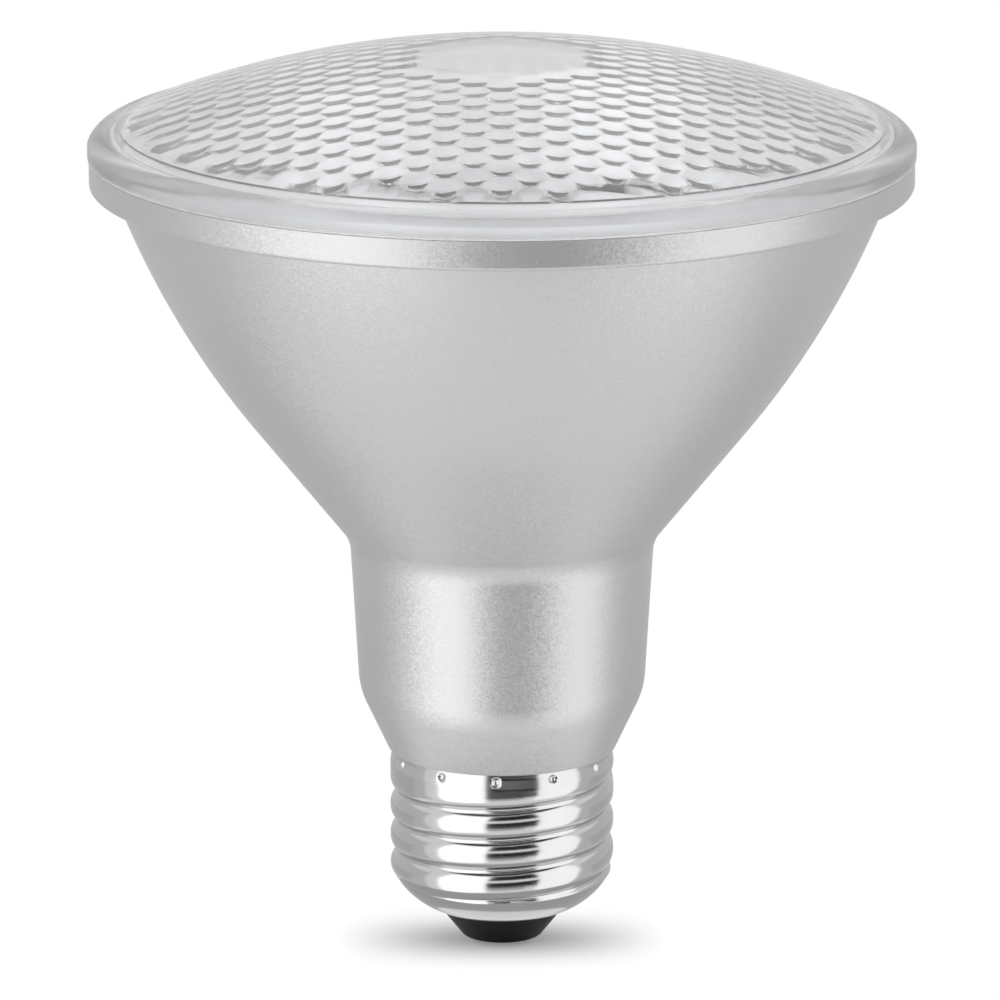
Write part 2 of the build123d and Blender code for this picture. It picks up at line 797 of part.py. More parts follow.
# Pin socket: a block over the middle hole of the LED board
with BuildPart() as pin_socket:
    with BuildSketch(Plane.XY.offset(led_board_top_z)):
        Rectangle(socket_length, socket_width)
        with Locations((0, driver_face_y - part_clearance - pin_radius)):
            with GridLocations(pin_spacing, 0, 2, 1):
                Circle(pin_radius + socket_clearance, mode=Mode.SUBTRACT)
    extrude(amount=socket_height)
pin_socket.part.label = "pin_socket"
export_step(pin_socket.part, "parts/pin_socket.step")

# Live lead: straight up the axis from the contact's stem, along the front of the tongue
with BuildPart() as live_lead:
    with BuildSketch(Plane.XY.offset(stem_top_z)):
        Circle(lead_radius)
    extrude(amount=tongue_z + lead_overlap - stem_top_z)
live_lead.part.label = "live_lead"
export_step(live_lead.part, "parts/live_lead.step")

# Neutral lead: from the side of the tongue straight out to the shell, below the spigot
neutral_z = tongue_z + lead_radius
with BuildPart() as neutral_lead:
    with BuildSketch(Plane.YZ.offset(driver_tongue_half_width)):
        with Locations((driver_middle_y, neutral_z)):
            Circle(lead_radius)
    extrude(amount=bore_radius - lead_clearance * 2 - driver_tongue_half_width)
neutral_lead.part.label = "neutral_lead"
export_step(neutral_lead.part, "parts/neutral_lead.step")
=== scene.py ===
"""Looks of a reflector spotlight bulb: clear honeycomb lens, silver body, nickel screw base and inside."""

import logging
from dataclasses import dataclass
from enum import Enum
from math import atan2, cos, hypot, pi, radians, sin, sqrt, tan
from typing import Any

import bmesh
import bpy
from mathutils import Matrix, Vector


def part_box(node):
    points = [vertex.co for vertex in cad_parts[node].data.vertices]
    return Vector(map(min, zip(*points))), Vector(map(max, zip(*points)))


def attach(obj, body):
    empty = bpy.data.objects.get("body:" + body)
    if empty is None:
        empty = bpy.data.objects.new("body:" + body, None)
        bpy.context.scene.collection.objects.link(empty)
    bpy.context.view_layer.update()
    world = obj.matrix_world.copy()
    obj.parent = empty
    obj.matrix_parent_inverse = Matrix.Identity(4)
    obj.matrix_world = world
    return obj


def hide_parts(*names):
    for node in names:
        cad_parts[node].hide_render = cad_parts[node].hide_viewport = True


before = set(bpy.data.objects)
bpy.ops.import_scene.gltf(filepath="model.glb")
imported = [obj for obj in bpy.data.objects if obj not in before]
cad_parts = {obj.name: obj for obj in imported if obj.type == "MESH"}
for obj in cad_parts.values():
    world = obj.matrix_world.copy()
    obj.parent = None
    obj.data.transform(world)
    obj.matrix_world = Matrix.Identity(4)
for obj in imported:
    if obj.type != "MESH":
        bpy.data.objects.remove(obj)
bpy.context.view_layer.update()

MM = 0.001

# Decimals of a millimetre that are read from the solid model
DECIMALS = 4

# Parts of a full turn and of a small round
SEGMENTS = 256
ROUND_PARTS = 6

# Angle in degrees past which an edge stays sharp
CREASE = 32.0

# Distance in millimetres below which two points are one
SAME_PLACE = 1e-5

log = logging.getLogger("bulb")

Point = tuple[float, float]
Colour = tuple[float, float, float]


def foot_of(node: str) -> float:
    """Lowest level of a node of the solid model, in millimetres."""
    return round(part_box(node)[0].z / MM, DECIMALS)


def top_of(node: str) -> float:
    """Highest level of a node of the solid model, in millimetres."""
    return round(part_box(node)[1].z / MM, DECIMALS)


def reach_of(node: str) -> float:
    """How far from the lamp's axis a node of the solid model reaches, in millimetres."""
    return round(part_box(node)[1].x / MM, DECIMALS)


class Grain(Enum):
    """Ways in which a finish varies from place to place."""

    SOFT = "soft_variation"
    FLAKE = "metal_flake"


class Field:
    """A value that varies over a surface: one output of a node, with arithmetic that adds nodes."""

    def __init__(self, graph: "Graph", socket: bpy.types.NodeSocket) -> None:
        """Keep the socket and the graph that it belongs to."""
        self.graph = graph
        self.socket = socket

    def __add__(self, other: Any) -> "Field":
        """Sum of two values."""
        return self.graph.math("ADD", self, other)

    def __sub__(self, other: Any) -> "Field":
        """Difference of two values."""
        return self.graph.math("SUBTRACT", self, other)

    def __rsub__(self, other: Any) -> "Field":
        """Difference, taken from a plain number."""
        return self.graph.math("SUBTRACT", other, self)

    def __mul__(self, other: Any) -> "Field":
        """Product of two values."""
        return self.graph.math("MULTIPLY", self, other)

    def __truediv__(self, other: Any) -> "Field":
        """Quotient of two values."""
        return self.graph.math("DIVIDE", self, other)

    def __gt__(self, other: Any) -> "Field":
        """One where this value is the larger, and zero elsewhere."""
        return self.graph.math("GREATER_THAN", self, other)

    def __lt__(self, other: Any) -> "Field":
        """One where this value is the smaller, and zero elsewhere."""
        return self.graph.math("LESS_THAN", self, other)

    def square(self) -> "Field":
        """The value times itself."""
        return self.graph.math("MULTIPLY", self, self)

    def root(self) -> "Field":
        """Square root."""
        return self.graph.math("SQRT", self)

    def size(self) -> "Field":
        """Absolute value."""
        return self.graph.math("ABSOLUTE", self)

    def floor(self) -> "Field":
        """Next whole number below."""
        return self.graph.math("FLOOR", self)

    def nearest(self) -> "Field":
        """Nearest whole number."""
        return self.graph.math("ROUND", self)

    def least(self, other: Any) -> "Field":
        """The smaller of two values."""
        return self.graph.math("MINIMUM", self, other)

    def most(self, other: Any) -> "Field":
        """The larger of two values."""
        return self.graph.math("MAXIMUM", self, other)


class Graph:
    """Adds nodes to one tree, from left to right, and links their sockets."""

    SPACING = 180

    def __init__(self, tree: bpy.types.NodeTree) -> None:
        """Start on a tree."""
        self.tree = tree

    def node(self, kind: str, inputs: dict[Any, Any] | None = None, **settings: Any) -> bpy.types.Node:
        """Add a node.

        Args:
            kind: Blender's name of the node type.
            inputs: Value, field or socket for each input, by name or number.
            settings: The node's own properties.

        Returns:
            The new node.
        """
        made = self.tree.nodes.new(kind)
        made.location = (len(self.tree.nodes) * self.SPACING, 0)
        for name, value in settings.items():
            setattr(made, name, value)
        for key, value in (inputs or {}).items():
            self.feed(made.inputs[key], value)
        return made

    def feed(self, target: bpy.types.NodeSocket, value: Any) -> None:
        """Link a field or socket to an input, or set its plain value.

        Args:
            target: The input.
            value: Field, socket or plain value for it.
        """
        if isinstance(value, Field):
            value = value.socket
        if isinstance(value, bpy.types.NodeSocket):
            self.tree.links.new(value, target)
        else:
            target.default_value = value

    def math(self, operation: str, *operands: Any) -> Field:
        """Add a math node and return its result."""
        made = self.node("ShaderNodeMath", dict(enumerate(operands)), operation=operation)
        return Field(self, made.outputs[0])

    def field(self, node: bpy.types.Node, output: Any = 0) -> Field:
        """One output of a node as a field."""
        return Field(self, node.outputs[output])

    def split(self, vector: Any) -> tuple[Field, Field, Field]:
        """The three parts of a vector."""
        parts = self.node("ShaderNodeSeparateXYZ", {0: vector})
        return self.field(parts, 0), self.field(parts, 1), self.field(parts, 2)

    def join(self, x: Any, y: Any, z: Any) -> Field:
        """A vector from its three parts."""
        return self.field(self.node("ShaderNodeCombineXYZ", {0: x, 1: y, 2: z}))

    def blend(self, share: Any, first: bpy.types.Node, second: bpy.types.Node) -> bpy.types.NodeSocket:
        """The first shader where the share is zero, and the second where it is one."""
        shaders = {0: share, 1: first.outputs[0], 2: second.outputs[0]}
        return self.node("ShaderNodeMixShader", shaders).outputs[0]

    def door(self, kind: str) -> bpy.types.Node:
        """The tree's input or output node, added the first time that it is asked for."""
        return next((node for node in self.tree.nodes if node.bl_idname == kind), None) or self.node(kind)

    def listen(self, name: str, kind: str) -> Field:
        """Give the tree a new named input.

        Args:
            name: Name of the input.
            kind: Blender's name of the socket type.

        Returns:
            What comes in.
        """
        socket = self.tree.interface.new_socket(name=name, in_out="INPUT", socket_type=kind)
        sockets = self.door("NodeGroupInput").outputs
        return Field(self, next(each for each in sockets if each.identifier == socket.identifier))

    def offer(self, name: str, kind: str, value: Any) -> None:
        """Give the tree a new named output.

        Args:
            name: Name of the output.
            kind: Blender's name of the socket type.
            value: What goes out.
        """
        socket = self.tree.interface.new_socket(name=name, in_out="OUTPUT", socket_type=kind)
        sockets = self.door("NodeGroupOutput").inputs
        self.feed(next(each for each in sockets if each.identifier == socket.identifier), value)


class ShapeTree(Graph):
    """A Geometry Nodes tree with named sizes, and the bake that turns its result into a plain mesh."""

    def __init__(self, name: str, finish: "Finish") -> None:
        """Start a tree with a geometry and a material input.

        Args:
            name: Name of the tree.
            finish: Finish of what the tree makes.
        """
        super().__init__(bpy.data.node_groups.new(name, "GeometryNodeTree"))
        self.values: dict[str, Any] = {}
        self.start = self.listen("Geometry", "NodeSocketGeometry")
        self.finish = self.named("Material", finish.material(), "NodeSocketMaterial")

    def named(self, name: str, value: Any, kind: str = "NodeSocketFloat") -> Field:
        """A new named input of the tree, with the value that it is baked with."""
        self.values[name] = value
        return self.listen(name, kind)

    def length(self, name: str, millimetres: float) -> Field:
        """A new named length of the tree."""
        return self.named(name, millimetres * MM)

    def count(self, name: str, number: int) -> Field:
        """A new named whole number of the tree, for use in sums."""
        return self.named(name, float(number))

    def position(self) -> tuple[Field, Field, Field]:
        """Coordinates of each point."""
        return self.split(self.node("GeometryNodeInputPosition").outputs[0])

    def store(self, geometry: Any, name: str, value: Field) -> bpy.types.NodeSocket:
        """Keep a value on each point under a name.

        Args:
            geometry: What has the points.
            name: Name of the value.
            value: The value itself.

        Returns:
            The geometry with the value on it.
        """
        inputs = {"Geometry": geometry, "Name": name, "Value": value}
        kept = self.node("GeometryNodeStoreNamedAttribute", inputs, data_type="FLOAT", domain="POINT")
        return kept.outputs[0]

    def recall(self, name: str) -> Field:
        """A value that was kept under a name."""
        kept = self.node("GeometryNodeInputNamedAttribute", {"Name": name}, data_type="FLOAT")
        return self.field(kept, "Attribute")

    def move(self, geometry: Any, place: Field) -> bpy.types.NodeSocket:
        """Put each point at a place, and return the geometry."""
        return self.node("GeometryNodeSetPosition", {"Geometry": geometry, "Position": place}).outputs[0]

    def beside_start(self, geometry: Any) -> bpy.types.NodeSocket:
        """Join the mesh that goes in with more geometry.

        Args:
            geometry: What is added.

        Returns:
            Both as one.
        """
        joined = self.node("GeometryNodeJoinGeometry", {0: self.start})
        self.feed(joined.inputs[0], geometry)
        return joined.outputs[0]

    def weld(self, geometry: Any, distance: Any) -> bpy.types.NodeSocket:
        """Merge points that lie closer than a distance, and return the geometry."""
        inputs = {"Geometry": geometry, "Distance": distance}
        return self.node("GeometryNodeMergeByDistance", inputs).outputs[0]

    def close(self, geometry: Any) -> None:
        """End the tree: real meshes only, with the finish set.

        Args:
            geometry: What the tree has made.
        """
        real = self.node("GeometryNodeRealizeInstances", {"Geometry": geometry}).outputs[0]
        dressed = self.node("GeometryNodeSetMaterial", {"Geometry": real, "Material": self.finish})
        self.offer("Geometry", "NodeSocketGeometry", dressed.outputs[0])

    def bake(self, start: bmesh.types.BMesh) -> bmesh.types.BMesh:
        """Run the tree with its named values and keep its result as a plain mesh.

        Args:
            start: Mesh that goes in, which is freed.

        Returns:
            The finished mesh.
        """
        data = bpy.data.meshes.new(self.tree.name)
        start.to_mesh(data)
        start.free()
        bed = bpy.data.objects.new(self.tree.name, data)
        bpy.context.scene.collection.objects.link(bed)
        modifier = bed.modifiers.new(self.tree.name, "NODES")
        modifier.node_group = self.tree
        for socket in self.tree.interface.items_tree:
            if socket.in_out == "INPUT" and socket.name in self.values:
                modifier[socket.identifier] = self.values[socket.name]
        depsgraph = bpy.context.evaluated_depsgraph_get()
        result = bpy.data.meshes.new_from_object(bed.evaluated_get(depsgraph))
        bpy.data.objects.remove(bed)
        mesh = bmesh.new()
        mesh.from_mesh(result)
        return mesh


class GrainGroup(Graph):
    """A shader node group of one grain, which varies a finish's colour and roughness over the surface."""

    NOISE_DETAIL = 4.0
    SOFT_GLOSS = 1.5

    def __init__(self, grain: Grain) -> None:
        """Start the group with the inputs that every grain has.

        Args:
            grain: The grain that the group is for.
        """
        super().__init__(bpy.data.node_groups.new(grain.value, "ShaderNodeTree"))
        self.place = self.listen("Place", "NodeSocketVector")
        self.colour = self.listen("Colour", "NodeSocketColor")
        self.roughness = self.listen("Roughness", "NodeSocketFloat")
        self.variation = self.listen("Variation", "NodeSocketFloat")
        self.fineness = self.listen("Fineness", "NodeSocketFloat")

    def swing(self, chance: Field) -> Field:
        """A chance from zero to one as a swing about zero, as wide as the variation each way."""
        return (chance - 0.5) * self.variation * 2.0

    def vector(self, operation: str, inputs: dict[Any, Any]) -> bpy.types.NodeSocket:
        """Add a vector math node and return its result."""
        return self.node("ShaderNodeVectorMath", inputs, operation=operation).outputs[0]

    def put_out(self, tone: Field, gloss: Field) -> None:
        """Offer the colour and the roughness, each changed by a swing about zero."""
        self.offer("Colour", "NodeSocketColor", self.vector("SCALE", {0: self.colour, "Scale": tone + 1.0}))
        self.offer("Roughness", "NodeSocketFloat", self.roughness * (gloss + 1.0))

    def add_soft(self) -> None:
        """Slow, soft changes, as on moulded, plated and printed pieces."""
        inputs = {"Vector": self.place, "Scale": self.fineness, "Detail": self.NOISE_DETAIL}
        noise = self.field(self.node("ShaderNodeTexNoise", inputs), "Fac")
        swing = self.swing(noise)
        self.put_out(swing, swing * self.SOFT_GLOSS)
        self.offer("Height", "NodeSocketFloat", noise)

    def add_flake(self) -> None:
        """Small flakes in a paint, each with its own tone, gloss and tilt."""
        tilt = self.listen("Tilt", "NodeSocketFloat")
        inputs = {"Vector": self.place, "Scale": self.fineness}
        chance = self.node("ShaderNodeTexVoronoi", inputs, feature="F1").outputs["Color"]
        red, green, _ = self.split(chance)
        self.put_out(self.swing(red), self.swing(green))
        middle = self.vector("SUBTRACT", {0: chance, 1: (0.5, 0.5, 0.5)})
        lean = self.vector("SCALE", {0: middle, "Scale": tilt})
        normal = self.node("ShaderNodeNewGeometry").outputs["Normal"]
        leant = self.vector("ADD", {0: normal, 1: lean})
        self.offer("Normal", "NodeSocketVector", self.vector("NORMALIZE", {0: leant}))


def grain_group(grain: Grain) -> bpy.types.NodeTree:
    """The node group of a grain, built the first time that it is asked for.

    Args:
        grain: The grain.

    Returns:
        Its node group.
    """
    known = bpy.data.node_groups.get(grain.value)
    if known:
        return known
    group = GrainGroup(grain)
    if grain is Grain.FLAKE:
        group.add_flake()
    else:
        group.add_soft()
    return group.tree


def blank_material(name: str) -> tuple[bpy.types.Material, Graph]:
    """Start a material that has no nodes yet.

    Args:
        name: Name of the material.

    Returns:
        The material and its graph.
    """
    material = bpy.data.materials.new(name)
    material.use_nodes = True
    material.node_tree.nodes.clear()
    return material, Graph(material.node_tree)


@dataclass(frozen=True)
class Finish:
    """One surface finish, with its grain in millimetres."""

    name: str
    colour: Colour
    roughness: float
    metallic: float = 0.0
    grain: Grain = Grain.SOFT
    grain_size: float = 1.2
    variation: float = 0.08
    relief: float = 0.0
    tilt: float = 0.0
    coat: float = 0.0
    specular: float = 0.5

    @property
    def label(self) -> str:
        """Name of the finish's material, apart from the names of the materials that come with model.glb."""
        return f"finish_{self.name}"

    def material(self) -> bpy.types.Material:
        """The finish as a material, built the first time that it is asked for."""
        return bpy.data.materials.get(self.label) or self.build()

    def start(self) -> tuple[bpy.types.Material, Graph, bpy.types.Node]:
        """Start the material with its grain.

        Returns:
            The material, its graph and the grain's node.
        """
        material, graph = blank_material(self.label)
        inputs = {
            "Place": graph.node("ShaderNodeTexCoord").outputs["Object"],
            "Colour": (*self.colour, 1.0),
            "Roughness": self.roughness,
            "Variation": self.variation,
            "Fineness": 1 / (self.grain_size * MM),
        }
        return material, graph, graph.node("ShaderNodeGroup", inputs, node_tree=grain_group(self.grain))

    def surface(self, graph: Graph, grain: bpy.types.Node) -> bpy.types.Node:
        """Add the shader that the grain feeds.

        Args:
            graph: The material's graph.
            grain: The grain's node.

        Returns:
            The shader's node.
        """
        inputs = {
            "Base Color": grain.outputs["Colour"],
            "Roughness": grain.outputs["Roughness"],
            "Metallic": self.metallic,
            "Coat Weight": self.coat,
            "Specular IOR Level": self.specular,
        }
        return graph.node("ShaderNodeBsdfPrincipled", inputs)

    def build(self) -> bpy.types.Material:
        """Build the material's nodes.

        Returns:
            The new material.
        """
        material, graph, grain = self.start()
        shader = self.surface(graph, grain)
        if self.grain is Grain.FLAKE:
            graph.feed(grain.inputs["Tilt"], self.tilt)
            graph.feed(shader.inputs["Normal"], grain.outputs["Normal"])
        elif self.relief:
            inputs = {"Height": grain.outputs["Height"], "Distance": self.relief * MM}
            graph.feed(shader.inputs["Normal"], graph.node("ShaderNodeBump", inputs).outputs[0])
        graph.node("ShaderNodeOutputMaterial", {"Surface": shader.outputs[0]})
        return material


@dataclass(frozen=True)
class ClearMoulding(Finish):
    """Clear moulded plastic, frosted near its edge. Shadow rays pass through, so that light gets inside."""

    refraction: float = 1.49
    clarity: float = 1.0
    frost: float = 0.0
    frost_start: float = 0.0
    frost_full: float = 1.0

    def build(self) -> bpy.types.Material:
        """Build the material's nodes.

        Returns:
            The new material.
        """
        material, graph, grain = self.start()
        glass = self.surface(graph, grain)
        x, y, _ = graph.split(graph.node("ShaderNodeTexCoord").outputs["Object"])
        out = (x.square() + y.square()).root() / MM
        edge = ((out - self.frost_start) / (self.frost_full - self.frost_start)).most(0.0).least(1.0)
        graph.feed(glass.inputs["Roughness"], graph.field(grain, "Roughness") + edge * self.frost)
        graph.feed(glass.inputs["IOR"], self.refraction)
        graph.feed(glass.inputs["Transmission Weight"], self.clarity)
        clear = graph.node("ShaderNodeBsdfTransparent", {"Color": (*self.colour, 1.0)})
        shadow_ray = graph.node("ShaderNodeLightPath").outputs["Is Shadow Ray"]
        graph.node("ShaderNodeOutputMaterial", {"Surface": graph.blend(shadow_ray, glass, clear)})
        return material


SILVER_PAINT = Finish(
    "silver_paint", (0.56, 0.56, 0.57), 0.41, metallic=0.9,
    grain=Grain.FLAKE, grain_size=0.16, variation=0.04, tilt=0.11,
)
NICKEL = Finish("bright_nickel", (0.56, 0.56, 0.56), 0.15, metallic=1.0, grain_size=2.5, variation=0.06)
BLACK_PLASTIC = Finish(
    "black_insulator", (0.008, 0.008, 0.009), 0.35, grain_size=0.5, relief=0.004, specular=0.01
)
CONTACT_METAL = Finish(
    "tinned_contact", (0.86, 0.82, 0.74), 0.40, metallic=0.4, grain_size=0.6, variation=0.12
)
CLEAR_LENS = ClearMoulding(
    "clear_lens", (0.98, 0.983, 0.988), 0.06, grain_size=6.0, variation=0.02,
    clarity=0.91, frost=0.2, frost_start=45.0, frost_full=45.6,
)
MIRROR_COAT = Finish(
    "reflector_coat", (0.87, 0.876, 0.89), 0.3, metallic=0.95, grain_size=3.0, variation=0.05
)
GREY_RUBBER = Finish("seal_rubber", (0.75, 0.75, 0.74), 0.7, grain_size=0.4, relief=0.01)
SINK_METAL = Finish(
    "drawn_aluminium", (0.74, 0.75, 0.77), 0.34, metallic=1.0, grain_size=0.8, variation=0.1
)
WHITE_MASK = Finish("white_board", (0.84, 0.84, 0.82), 0.45, grain_size=1.0, variation=0.04)
PHOSPHOR = Finish("led_phosphor", (0.86, 0.70, 0.20), 0.35, grain_size=0.3)
SCREW_STEEL = Finish("screw_steel", (0.62, 0.62, 0.64), 0.3, metallic=1.0, grain_size=0.5)
PIN_BRASS = Finish("pin_brass", (0.78, 0.64, 0.34), 0.26, metallic=1.0, grain_size=0.6)
SOCKET_PLASTIC = Finish("socket_plastic", (0.84, 0.83, 0.78), 0.5, grain_size=0.6)
BOARD_GREEN = Finish("driver_board_mask", (0.04, 0.22, 0.09), 0.4, grain_size=0.7, coat=0.2)
FERRITE = Finish("ferrite", (0.045, 0.045, 0.05), 0.65, grain_size=0.35, variation=0.25, relief=0.02)
WINDING_TAPE = Finish("winding_tape", (0.80, 0.62, 0.08), 0.32, grain_size=1.5)
CAN_SLEEVE = Finish("can_sleeve", (0.03, 0.04, 0.08), 0.3, grain_size=1.0, coat=0.2)
FILM_CASE = Finish("film_case", (0.74, 0.56, 0.10), 0.38, grain_size=0.6)
PACKAGE_BLACK = Finish(
    "chip_package", (0.028, 0.028, 0.03), 0.55, grain_size=0.3, variation=0.2, relief=0.01
)
FUSE_BODY = Finish("fuse_body", (0.70, 0.66, 0.55), 0.5, grain_size=0.5)
RED_SLEEVE = Finish("live_sleeve", (0.52, 0.05, 0.04), 0.4, grain_size=0.8)
WHITE_SLEEVE = Finish("neutral_sleeve", (0.80, 0.80, 0.78), 0.42, grain_size=0.8)


def arc_about(centre: Vector, start: Point, end: Point, parts: int) -> list[Point]:
    """Shorter arc about a centre.

    Args:
        centre: Centre of the arc.
        start: First point.
        end: Last point, or a point in its direction.
        parts: Number of equal parts.

    Returns:
        The points of the arc, both ends included.
    """
    first = Vector(start) - centre
    last = Vector(end) - centre
    low = atan2(first.y, first.x)
    turn = (atan2(last.y, last.x) - low + pi) % (2 * pi) - pi
    angles = [low + turn * part / parts for part in range(parts + 1)]
    radius = first.length
    return [(centre.x + radius * cos(angle), centre.y + radius * sin(angle)) for angle in angles]


def tangent_arc(start: Point, way: Point, end: Point, parts: int) -> list[Point]:
    """Arc that leaves a point along a way.

    Args:
        start: First point.
        way: Direction in which the arc leaves it.
        end: Last point.
        parts: Number of equal parts.

    Returns:
        The points of the arc, both ends included.
    """
    across = Vector((-way[1], way[0])).normalized()
    chord = Vector(end) - Vector(start)
    radius = chord.length_squared / (2 * chord.dot(across))
    return arc_about(Vector(start) + across * radius, start, end, parts)


def arc_through(start: Point, middle: Point, end: Point, parts: int) -> list[Point]:
    """Arc through three points.

    Args:
        start: First point.
        middle: A point on the way.
        end: Last point.
        parts: Number of equal parts.

    Returns:
        The points of the arc, both ends included.
    """
    chord = Vector(middle) - Vector(start)
    other = Vector(end) - Vector(start)
    turn = 2 * (chord.x * other.y - chord.y * other.x)
    x = (other.y * chord.length_squared - chord.y * other.length_squared) / turn
    y = (chord.x * other.length_squared - other.x * chord.length_squared) / turn
    return arc_about(Vector(start) + Vector((x, y)), start, end, parts)


def bend_centre(start: Point, end: Point, radius: float) -> Vector:
    """Centre of an arc that bulges to the right of its way.

    Args:
        start: First point.
        end: Last point.
        radius: Radius of the arc.

    Returns:
        The centre.
    """
    along = (Vector(end) - Vector(start)).normalized()
    half = (Vector(end) - Vector(start)).length / 2
    return (Vector(start) + Vector(end)) / 2 + Vector((-along.y, along.x)) * sqrt(radius**2 - half**2)


def rounded(
    corner: Point, before: Point, after: Point, radius: float, parts: int = ROUND_PARTS
) -> list[Point]:
    """Round a corner of an outline.

    Args:
        corner: The sharp corner.
        before: A point on the line that comes in.
        after: A point on the line that goes out.
        radius: Radius of the round.
        parts: Number of equal parts.

    Returns:
        The points of the round, from the line that comes in to the one that goes out.
    """
    back = (Vector(before) - Vector(corner)).normalized()
    ahead = (Vector(after) - Vector(corner)).normalized()
    half = back.angle(ahead) / 2
    start = Vector(corner) + back * (radius / tan(half))
    end = Vector(corner) + ahead * (radius / tan(half))
    centre = Vector(corner) + (back + ahead).normalized() * (radius / sin(half))
    return arc_about(centre, tuple(start), tuple(end), parts)


def straight(start: Point, end: Point, parts: int) -> list[Point]:
    """Points along a straight line, both ends included."""
    return [tuple(Vector(start).lerp(Vector(end), part / parts)) for part in range(parts + 1)]


def inset(outline: list[Point], wall: float) -> list[Point]:
    """Move an outline to its left, point by point.

    Args:
        outline: The points of the outline.
        wall: How far it moves.

    Returns:
        The moved points.
    """
    moved = []
    for index, point in enumerate(outline):
        before = Vector(outline[max(index - 1, 0)])
        after = Vector(outline[min(index + 1, len(outline) - 1)])
        along = (after - before).normalized()
        moved.append(tuple(Vector(point) + Vector((-along.y, along.x)) * wall))
    return moved


def without_doubles(outline: list[Point]) -> list[Point]:
    """Leave out points that repeat the one before them.

    Args:
        outline: The points of the outline.

    Returns:
        The points that stay.
    """
    kept = outline[:1]
    for point in outline[1:]:
        if hypot(point[0] - kept[-1][0], point[1] - kept[-1][1]) > SAME_PLACE:
            kept.append(point)
    return kept


def turned(outline: list[Point], closed: bool, segments: int = SEGMENTS) -> bmesh.types.BMesh:
    """Turn an outline about the lamp's axis.

    Args:
        outline: Points in millimetres, as distance from the axis and height.
        closed: True where the last point joins the first.
        segments: Number of parts of a full turn.

    Returns:
        The turned mesh in metres, with one point where the outline meets the axis.
    """
    mesh = bmesh.new()
    angles = [2 * pi * part / segments for part in range(segments)]
    rings = []
    for radius, height in without_doubles(outline):
        reach, level = radius * MM, height * MM
        if radius < SAME_PLACE:
            ring = [mesh.verts.new((0, 0, level))] * segments
        else:
            ring = [mesh.verts.new((reach * cos(angle), reach * sin(angle), level)) for angle in angles]
        rings.append(ring)
    pairs = list(zip(rings, rings[1:]))
    if closed:
        pairs.append((rings[-1], rings[0]))
    for low, high in pairs:
        for part in range(segments):
            following = (part + 1) % segments
            corners = dict.fromkeys((low[part], low[following], high[following], high[part]))
            mesh.faces.new(list(corners))
    return mesh


def object_from(mesh: bmesh.types.BMesh, name: str, material: bpy.types.Material) -> bpy.types.Object:
    """Make an object of a mesh and link it to the scene.

    Args:
        mesh: The finished mesh, which is freed.
        name: Name of the object.
        material: Its material.

    Returns:
        The object, at the origin.
    """
    data = bpy.data.meshes.new(name)
    mesh.to_mesh(data)
    mesh.free()
    data.materials.append(material)
    made = bpy.data.objects.new(name, data)
    bpy.context.scene.collection.objects.link(made)
    return made


def piece_from(
    mesh: bmesh.types.BMesh, name: str, finish: Finish, crease: float = CREASE
) -> bpy.types.Object:
    """Make a piece of the lamp: faces outwards, dressed and smoothly shaded.

    Args:
        mesh: The finished mesh, which is freed.
        name: Name of the piece.
        finish: Finish of the piece.
        crease: Angle in degrees past which an edge stays sharp.

    Returns:
        The object, at the origin.
    """
    bmesh.ops.recalc_face_normals(mesh, faces=mesh.faces)
    piece = object_from(mesh, name, finish.material())
    piece.data.polygons.foreach_set("use_smooth", [True] * len(piece.data.polygons))
    piece.data.set_sharp_from_angle(angle=radians(crease))
    return piece


def fit(piece: bpy.types.Object, node: str) -> None:
    """Put a finished piece in the place of a node.

    Args:
        piece: The piece, which rides on the lamp.
        node: The node that it stands for.
    """
    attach(piece, "root")
    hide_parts(node)
    piece.data.calc_loop_triangles()
    log.info("%s: %d triangles, in place of %s", piece.name, len(piece.data.loop_triangles), node)


def dress(finishes: tuple[tuple[str, Finish], ...]) -> None:
    """Give nodes of the solid model their finishes.

    Args:
        finishes: Each node's name, with its finish.
    """
    for node, finish in finishes:
        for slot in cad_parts[node].material_slots:
            slot.material = finish.material()
        log.info("%s: dressed in %s", node, finish.name)


